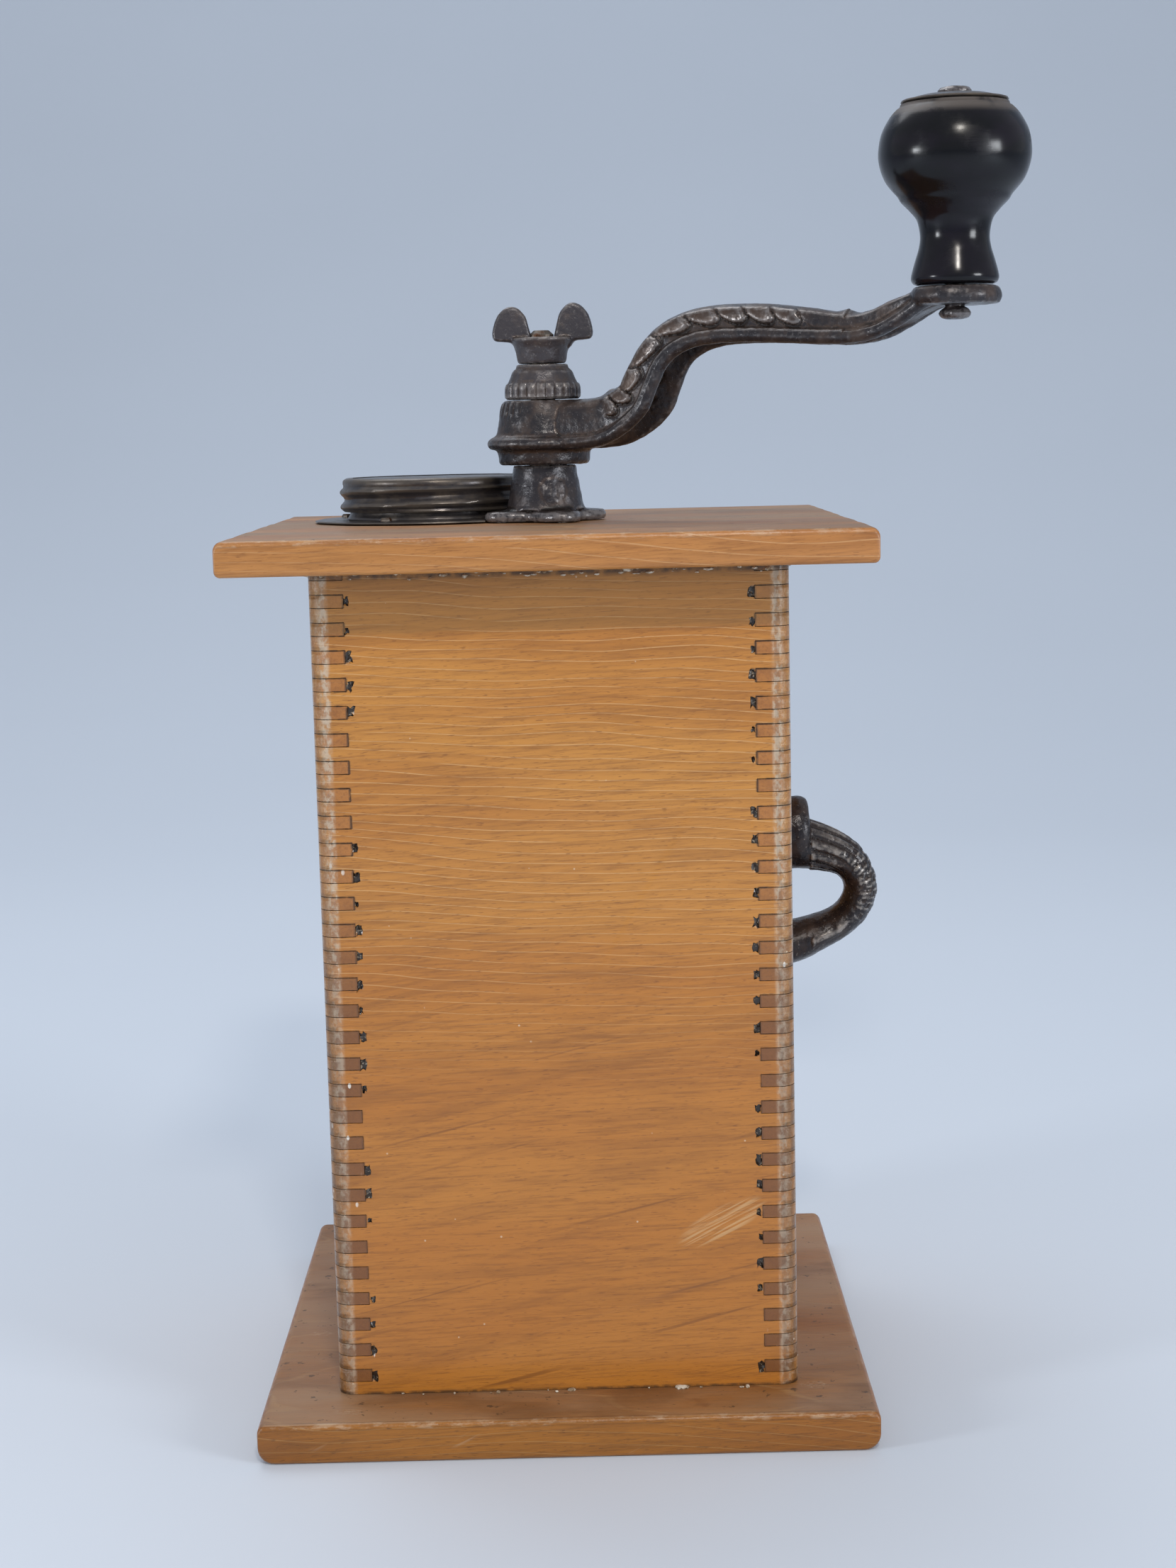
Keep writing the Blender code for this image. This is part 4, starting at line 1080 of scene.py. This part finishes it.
def make_crank_arm():
    rows = arm_line()
    sections = [resampled(arm_section(rows, i), 96) for i in range(len(rows))]
    arm = loft("arm", sections, ON_CRANK)
    hub = lathe("hub", [
        *sharp(0, 263.3), *sharp(12.2, 263.3), (12.9, 263.9), (13.2, 266.4), (13.6, 267.5), (15.3, 267.9),
        (16.2, 269.2), (15.5, 270.6), (13.8, 271.6), (13.1, 273.6), (12.6, 276.6), (11.9, 279.6),
        (11.4, 281.0), *sharp(10.9, HUB_TOP), (0, HUB_TOP),
    ], 96, ON_CRANK)
    pad = lathe("pad", [
        *sharp(0, 303.3), (10.2, 303.3), (11.3, 303.9), (11.9, 305.2), (11.6, 306.9), (10.9, 307.9),
        *sharp(10.4, 308.0), (0, 308.0),
    ], 72, ON_KNOB, pad_reach)
    crank = cast(joined("crank_arm_iron", [arm, hub, pad]), 0.4, 3)
    work(crank, arm_relief, rough=0.1, size=2.2, seed=3.0, at=ON_CRANK)
    spindle_bore = bore("spindle_bore", 4.6, 262, 283, 24, ON_CRANK)
    bolt_bore = bore("bolt_bore", 2.75, 295, 310, 24, ON_KNOB)
    cut(crank, [spindle_bore, bolt_bore])
    piece(crank, "crank", ARM_IRON, ["crank_arm"], angle=60.0)


def collar_reach(radius, angle, height):
    """Scalloped flutes round the collar's band and soft facets on its dome."""
    if radius < 5:
        return radius
    if height < 286.0:
        return radius - 0.5 * (1 - abs(math.sin(angle * 12)) ** 0.7)
    return radius * (1 - 0.022 * abs(math.cos(angle * 6)) ** 3)


def make_collar():
    low = HUB_TOP + 0.3
    collar = lathe("adjusting_collar_iron", [
        *sharp(3.9, low), *sharp(10.2, low), (10.8, low + 0.6), (10.8, 285.0), *sharp(10.5, 285.9),
        (9.9, 286.4), (9.2, 288.0), (8.6, 289.4), *sharp(7.6, 290.4), (7.3, 291.3), *sharp(6.9, 291.5),
        *sharp(3.9, 291.5),
    ], 240, ON_CRANK, collar_reach)
    work(collar, rough=0.07, size=1.5, seed=7.0)
    piece(collar, "collar", NUT_IRON, ["adjusting_collar"], angle=30.0)


EAR_FOOT = 295.0


def ear_outline(sign, height):
    """One lobe of the wing nut, seen from the front."""
    right = [
        (3.2, 299.4), (4.0, 302.6), (4.9, 305.7), (6.8, 307.9), (8.8, 308.6), (11.1, 307.7), (12.9, 305.6),
        (13.9, 302.8), (14.3, 300.0), (13.6, 298.5), (11.4, 298.2), (9.0, 297.8), (7.5, 296.0), (4.0, 295.4),
        (3.2, 299.4),
    ]
    return [(sign * x, EAR_FOOT + (z - EAR_FOOT) * height) for x, z in smooth_line(right, 0.5)[:-1]]


def make_wing_nut():
    cone = lathe("cone", [
        *sharp(3.9, 291.8), (6.6, 291.8), (6.9, 292.3), (7.1, 293.4), (7.7, 296.2), (8.7, 298.3),
        (8.6, 298.9), *sharp(8.1, 299.0), *sharp(3.9, 299.0),
    ], 60, ON_MILL)
    parts = [cone]
    for sign, height in ((-1, 0.94), (1, 1.0)):
        outline = ear_outline(sign, height)
        middle = np.mean(outline, axis=0)
        sections = []
        for y, inset in ((-2.3, 1.1), (-2.1, 0.4), (-1.3, 0.0), (1.3, 0.0), (2.1, 0.4), (2.3, 1.1)):
            ring = []
            for x, z in outline:
                out = np.array([x, z]) - middle
                x_in, z_in = middle + out * (1 - inset / np.linalg.norm(out))
                ring.append((x_in + 0.4, y, z_in))
            sections.append(ring)
        parts.append(loft("ear", sections, ON_MILL))
    nut = cast(joined("wing_nut_iron", parts), 0.3, 4)
    work(nut, rough=0.07, size=1.6, seed=12.0)
    piece(nut, "wing_nut", NUT_IRON, ["wing_nut"], angle=60.0)


def rivet_reach(radius, angle, height):
    """An oval, hammered head at the bolt's lower end."""
    return radius * (1 + 0.16 * math.cos(2 * angle + 0.6)) if height < 302.6 else radius


def make_knob():
    knob = lathe("crank_knob_turned", [
        *sharp(2.9, 308.4), *sharp(9.9, 308.4), (10.9, 308.8), (11.5, 309.9), (11.3, 311.6), (10.4, 314.8),
        (9.4, 318.2), (9.1, 321.3), (9.9, 325.2), (11.7, 327.6), *sharp(13.4, 329.3), (14.3, 330.3),
        (14.9, 331.4), (17.9, 335.0), (19.5, 339.0), (19.9, 342.7), (19.1, 347.4), (17.0, 351.4),
        (15.0, 353.6), (14.3, 354.0), *sharp(14.1, 354.7), *sharp(2.9, 354.7),
    ], 144, ON_KNOB)
    piece(knob, "knob", LACQUER, ["crank_knob"], angle=50.0)
    washer = lathe("knob_washer_sheet", [
        *sharp(2.9, 355.0), *sharp(13.6, 355.0), (14.0, 355.3), (13.8, 355.7), (12.2, 356.0), (9.0, 356.8),
        (6.4, 357.1), *sharp(2.9, 357.1),
    ], 96, ON_KNOB)
    work(washer, rough=0.05, size=4.0)
    piece(washer, "knob", CAP_IRON, ["knob_washer"])
    bolt = lathe("knob_bolt_rivet", [
        *sharp(0, 299.6), (1.8, 299.5), (3.3, 300.0), (3.9, 301.1), (3.2, 302.2), (2.6, 302.8),
        *sharp(2.6, 303.2), *sharp(2.6, 357.3), (4.3, 357.4), (4.4, 358.0), (3.8, 358.7), (2.2, 359.0),
        (0, 359.0),
    ], 40, ON_KNOB, rivet_reach)
    work(bolt, rough=0.12, size=1.6, seed=2.0)
    piece(bolt, "crank", POST_IRON, ["knob_bolt"])


def post_relief(points, normals):
    """A rough patch left by the mould on the front of the bearing post."""
    angle = np.arctan2(points[:, 1], points[:, 0]) + math.radians(76)
    height = points[:, 2] - 256.0
    edge = 1 + 0.35 * lumps(points, 2.0, seed=5.0)
    inside = (angle / 0.42) ** 2 + (height / 3.8) ** 2
    patch = np.clip((edge - inside) / 0.25, 0, 1) * (points[:, 2] > 250.8)
    return patch * (0.16 + 0.2 * lumps(points, 0.9, seed=9.0)), np.exp(-(((edge - inside) / 0.2) ** 2))


def foot_lobes(angle):
    """How far the four lobes of the post's foot stand out."""
    return POST_FOOT_LOBE * math.cos(4 * (angle - POST_FOOT_TURN))


def post_reach(radius, angle, height):
    if height >= POST_FOOT_TOP or radius <= 8:
        return radius
    return radius + foot_lobes(angle) * min((POST_FOOT_TOP - height) / 0.5, 1)


def make_post():
    post = lathe("bearing_post_iron", [
        *sharp(5.1, 247.4), (14.2, 247.4), (14.7, 247.9), (14.7, 249.2), (14.2, 249.9), (13.2, 250.2),
        (11.6, 250.5), (11.0, 251.4), (10.5, 253.6), (10.0, 256.5), (9.4, 260.0), (9.0, 262.6),
        *sharp(8.7, 263.0), *sharp(5.1, 263.0),
    ], 160, ON_MILL, post_reach)
    work(post, post_relief, rough=0.16, size=2.6, seed=4.0, at=ON_MILL)
    piece(post, "case", POST_IRON, ["bearing_post"], angle=50.0)


def make_spring():
    """The coil between the spindle's collar and the top board, made at rest and fixed to the case, though the
    real one gives way as the spindle rises.
    """
    turns, around = 5, 24
    radius, wire = 7.2, 0.8
    height = SPRING_HIGH - SPRING_LOW
    sections = []
    for step in range(turns * around + 1):
        angle = 2 * math.pi * step / around
        outward = Vector((math.cos(angle), math.sin(angle), 0.0))
        upward = Vector((0.0, 0.0, 1.0))
        middle = outward * radius + upward * (SPRING_LOW + height * step / (turns * around))
        rolls = [2 * math.pi * side / 10 for side in range(10)]
        sections.append([middle + outward * wire * math.cos(r) + upward * wire * math.sin(r) for r in rolls])
    spring = loft("spindle_spring_wire", sections, ON_MILL)
    piece(spring, "case", STEEL, ["spindle_spring"], angle=60.0)
    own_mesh(spring)


# Bean filler


def cap_reach(radius, angle, height):
    """A rolled screw thread round the outside, with a few small dents."""
    if radius <= 26.4:
        return radius
    dent = 0.25 * noise.noise(Vector((math.cos(angle) * 2, math.sin(angle) * 2, height * 0.25)))
    fade = min(max((height - 250.6) / 0.8, 0), 1) * min(max((258.2 - height) / 1.0, 0), 1)
    turn = (angle - CAP_TURN) / (2 * math.pi)
    wave = math.cos(2 * math.pi * ((height - 251.9) / THREAD_PITCH - turn))
    return radius + dent + fade * (0.55 + 0.75 * wave)


def flange_reach(radius, angle, height):
    """A slightly wavy outer edge."""
    if radius <= 33:
        return radius
    return radius + 0.5 * noise.noise(Vector((3 * math.cos(angle), 3 * math.sin(angle), 0)))


def notch_reach(radius, angle, height):
    """The post's foot with a little room round it, to be cut out of the flange."""
    return radius + foot_lobes(angle) if radius > 10 else radius


def make_filler():
    cap = lathe("screw_cap_sheet", [
        *sharp(0, 259.2), *sharp(25.2, 259.2), (26.0, 258.4), *sharp(26.0, 250.5), (27.2, 250.4),
        (27.5, 250.8), (27.0, 251.4), (27.0, 254.0), (27.0, 257.4), (27.3, 258.4), (27.2, 259.3),
        (26.4, 260.0), (25.4, 260.2), (24.4, 260.1), (23.2, 259.9), (0, 259.9),
    ], 220, ON_CAP, cap_reach)
    work(cap, rough=0.05, size=6.0)
    piece(cap, "cap", CAP_IRON, ["screw_cap"], angle=40.0)
    neck = lathe("filler_neck_sheet", [
        *sharp(24.2, 247.4), *sharp(35.2, 247.4), (35.7, 247.6), (35.6, 247.9), (35.2, 248.0),
        (27.0, 248.1), (26.0, 248.6), (25.4, 249.6), (25.2, 251.0), (25.2, 254.0), *sharp(25.2, 257.8),
        *sharp(24.2, 257.8),
    ], 180, ON_CAP, flange_reach)
    cut(neck, [bore("notch", 15.2, 246, 248.9, 96, ON_MILL, notch_reach)])
    work(neck, rough=0.05, size=5.0)
    piece(neck, "case", CAP_IRON, ["filler_neck"], angle=40.0)


# Side handle


# Outward from the case, height, half depth and half breadth of the grip
GRIP = (
    (-1.0, 151.9, 8.2, 8.4), (4.0, 151.8, 7.8, 8.0), (9.0, 151.1, 7.2, 7.6), (15.5, 149.4, 6.2, 7.2),
    (20.8, 146.7, 5.4, 7.0), (24.1, 142.3, 4.9, 7.0), (25.0, 137.2, 4.8, 7.0), (22.7, 131.6, 4.7, 7.2),
    (17.8, 127.4, 4.8, 7.6), (12.0, 124.8, 5.4, 8.0), (6.0, 122.6, 6.2, 8.4), (-1.0, 121.6, 7.0, 8.6),
)


def grip_spine():
    rows = np.array(smooth_line(GRIP, 1.0))
    along = np.concatenate([[0], np.cumsum(np.linalg.norm(np.diff(rows[:, :2], axis=0), axis=1))])
    tangent = np.gradient(rows[:, :2], axis=0)
    return rows, along / along[-1], tangent / np.linalg.norm(tangent, axis=1)[:, None]


def handle_relief(points, normals):
    """Flutes at the grip's root, slanting cuts round its bend, and a ridge along its lower half."""
    rows, along, tangent = grip_spine()
    out = points[:, 0] - CASE_HALF
    height = points[:, 2]
    gaps = np.hypot(out[:, None] - rows[None, :, 0], height[:, None] - rows[None, :, 1])
    nearest = gaps.argmin(axis=1)
    t = along[nearest]
    aside, above = out - rows[nearest, 0], height - rows[nearest, 1]
    away = aside * tangent[nearest, 1] - above * tangent[nearest, 0]
    around = np.arctan2(points[:, 1], -away)
    root = np.clip((0.42 - t) / 0.14, 0, 1)
    flutes = np.abs(np.sin(around * 6 + t * 2)) ** 0.7 - 0.6
    relief = root * flutes * 0.95
    bend = np.clip((t - 0.3) / 0.08, 0, 1) * np.clip((0.66 - t) / 0.1, 0, 1)
    outer = np.clip((np.cos(around) + 0.35) / 0.5, 0, 1)
    cuts = np.abs(np.sin(t * 58 + np.abs(around) * 2.2)) ** 0.5 - 0.75
    relief += bend * outer * cuts * 0.8
    lower = np.clip((t - 0.6) / 0.1, 0, 1) * np.clip((0.97 - t) / 0.05, 0, 1)
    relief += lower * 0.5 * np.exp(-(((np.abs(around) - 1.5) / 0.16) ** 2))
    on_grip = out > 10.2
    return np.where(on_grip, relief, 0.0), on_grip * np.clip(-relief, 0, 1)


def dome(name, height, half_height, half_breadth, thickness):
    """A domed oval boss on the case wall."""
    boss = lathe(name, [
        *sharp(0, 0), *sharp(0.94, 0), (0.97, 0.4), (1.0, 0.68), (0.96, 0.86), (0.86, 0.97), (0.6, 1.0),
        (0, 1.0),
    ], 64, spacing=0.06)
    size = Matrix.Diagonal((half_height, half_breadth, thickness, 1.0))
    face = Matrix.Translation(Vector((CASE_HALF + 0.3, 0.0, height)) * MM)
    boss.data.transform(face @ Matrix.Rotation(math.pi / 2, 4, "Y") @ size)
    return boss


def make_side_handle():
    rows, _, tangent = grip_spine()
    sections = []
    for (out, height, depth, breadth), (dx, dz) in zip(rows, tangent):
        across = np.array([dz, 0.0, -dx])
        middle = np.array([CASE_HALF + out, 0.0, height])
        ring = []
        for step in range(64):
            angle = 2 * math.pi * step / 64
            point = middle + across * depth * math.cos(angle)
            point[1] += breadth * math.sin(angle)
            point[0] = max(point[0], CASE_HALF + 0.3)
            ring.append(point)
        sections.append(ring)
    upper_boss = dome("upper_boss", 155.1, 10.4, 9.8, 9.6)
    lower_boss = dome("lower_boss", 119.8, 8.6, 9.4, 3.4)
    handle = cast(joined("side_handle_iron", [loft("grip", sections), upper_boss, lower_boss]), 0.4, 3)
    work(handle, handle_relief, rough=0.1, size=2.4, seed=8.0)
    piece(handle, "case", HANDLE_IRON, ["side_handle"], angle=60.0)


# Drawer


def make_drawer():
    rows = [(0.0, 0.9), (0.25, 0.35), (0.9, 0.0), (WALL, 0.0)]
    half = DRAWER_HALF
    sections = []
    for depth, drawn in rows:
        x, low, high = half - drawn, DRAWER_LOW + drawn, DRAWER_TOP - drawn
        y = CASE_HALF - depth
        sections.append([(-x, y, low), (x, y, low), (x, y, high), (-x, y, high)])
    face = loft("drawer_front_wood", sections)
    piece(face, "drawer", CASE_ALONG_X, ["drawer_front"])
    height = (DRAWER_LOW + DRAWER_TOP) / 2
    seat = Matrix.Translation((0, CASE_HALF + 0.3, height)) @ TIP_PLUS_Y
    knob = lathe("drawer_knob_iron", [
        *sharp(2.0, 0), (6.2, 0), (6.5, -0.4), (6.2, -1.2), (5.0, -3.0), (4.7, -5.0), (5.6, -6.8),
        (8.4, -8.6), (9.5, -10.6), (9.6, -12.6), (8.6, -14.8), (6.4, -15.9), (3.0, -16.4), (0.5, -16.4),
        (0.5, -12), *sharp(2.0, -12),
    ], 72, seat)
    work(knob, rough=0.08, size=2.0, seed=6.0)
    piece(knob, "drawer", POST_IRON, ["drawer_knob"])


# CAD nodes that stay


def paint_nodes():
    """Gives every CAD node that is still shown its own finish."""
    by_slot = {
        "varnished_wood": CASE_ALONG_X, "bare_wood": BARE_WOOD, "cast_iron": BURR_IRON,
        "sheet_iron": CAP_IRON, "steel": STEEL, "black_lacquer": LACQUER, "cork": CORK,
    }
    slots = {entry["node"]: entry["material_slot"] for entry in frame["record"]["subparts"]}
    for name, thing in frame["nodes"].items():
        for index in range(len(thing.material_slots)):
            thing.material_slots[index].material = by_slot[slots[name]]


# Studio


FLOOR_REACH = 5000.0
FLOOR_DEPTH = 900.0
FLOOR_BEND = 2200.0
MIDDLE = (0.02, 0.0, 0.19)
WINDOW_LIGHT = (0.92, 0.96, 1.0)
CEILING_LIGHT = (0.95, 0.97, 1.0)

# Name, place, what it points at, size, power in watts and colour; places and sizes are in metres
LAMPS = (
    ("key", (0.12, -1.0, 1.0), MIDDLE, 0.12, 4.7, (1.0, 0.95, 0.88)),
    ("left_window", (-1.2, -0.6, 0.36), MIDDLE, 0.22, 5.5, WINDOW_LIGHT),
    ("right_window", (1.1, -0.8, 0.4), MIDDLE, 0.4, 8.2, WINDOW_LIGHT),
    ("top", (-0.3, 0.6, 1.4), MIDDLE, 0.9, 6.0, CEILING_LIGHT),
    ("backdrop", (0.0, 0.9, 2.4), (0.0, 3.0, 0.9), 1.5, 9.0, CEILING_LIGHT),
)


def make_floor():
    """A pale floor that bends up into a wall behind the mill."""
    paint = Paint("pale_floor", roughness=0.85)
    paint.colour = paint.mix(paint.noise(500.0, detail=2.0), srgb(206, 214, 224), srgb(212, 220, 230))
    line = [(-FLOOR_REACH, 0.0)]
    for step in range(33):
        angle = math.radians(90 * step / 32)
        line.append((FLOOR_DEPTH + FLOOR_BEND * math.sin(angle), FLOOR_BEND * (1 - math.cos(angle))))
    line.append((FLOOR_DEPTH + FLOOR_BEND, FLOOR_REACH))
    points = [(x, y, z) for y, z in line for x in (-FLOOR_REACH, FLOOR_REACH)]
    faces = [(2 * i, 2 * i + 1, 2 * i + 3, 2 * i + 2) for i in range(len(line) - 1)]
    floor = mesh_object("studio_floor", points, faces)
    floor.data.materials.append(paint.finish())
    floor.data.shade_smooth()


def make_light():
    world = bpy.data.worlds.new("studio")
    world.use_nodes = True
    sky = world.node_tree.nodes["Background"].inputs
    sky["Color"].default_value = (0.83, 0.89, 1.0, 1.0)
    sky["Strength"].default_value = 0.505
    bpy.context.scene.world = world
    bpy.context.scene.view_settings.view_transform = "Standard"
    for name, place, target, size, power, colour in LAMPS:
        light = bpy.data.lights.new(name, "AREA")
        light.size = size
        light.energy = power
        light.color = colour
        lamp = linked(name, light)
        lamp.location = place
        lamp.rotation_mode = "QUATERNION"
        lamp.rotation_quaternion = (Vector(target) - Vector(place)).to_track_quat("-Z", "Y")
        lamp.visible_camera = False


def make_camera():
    """The photograph's camera, fitted to the outlines of the case and its boards."""
    yaw, pitch, roll = 0.0024, -0.1469, -0.0234
    data = bpy.data.cameras.new("camera")
    data.sensor_width = 36.0
    data.lens = 56.0
    camera = linked("camera", data)
    camera.matrix_world = (
        Matrix.Translation((0.0076, -0.7047, 0.2747)) @ Matrix.Rotation(-yaw, 4, "Z")
        @ Matrix.Rotation(math.pi / 2 + pitch, 4, "X") @ Matrix.Rotation(roll, 4, "Z")
    )
    bpy.context.scene.camera = camera


make_camera()
make_floor()
make_light()
paint_nodes()
make_case()
make_crank_arm()
make_collar()
make_wing_nut()
make_knob()
make_post()
make_spring()
make_filler()
make_side_handle()
make_drawer()
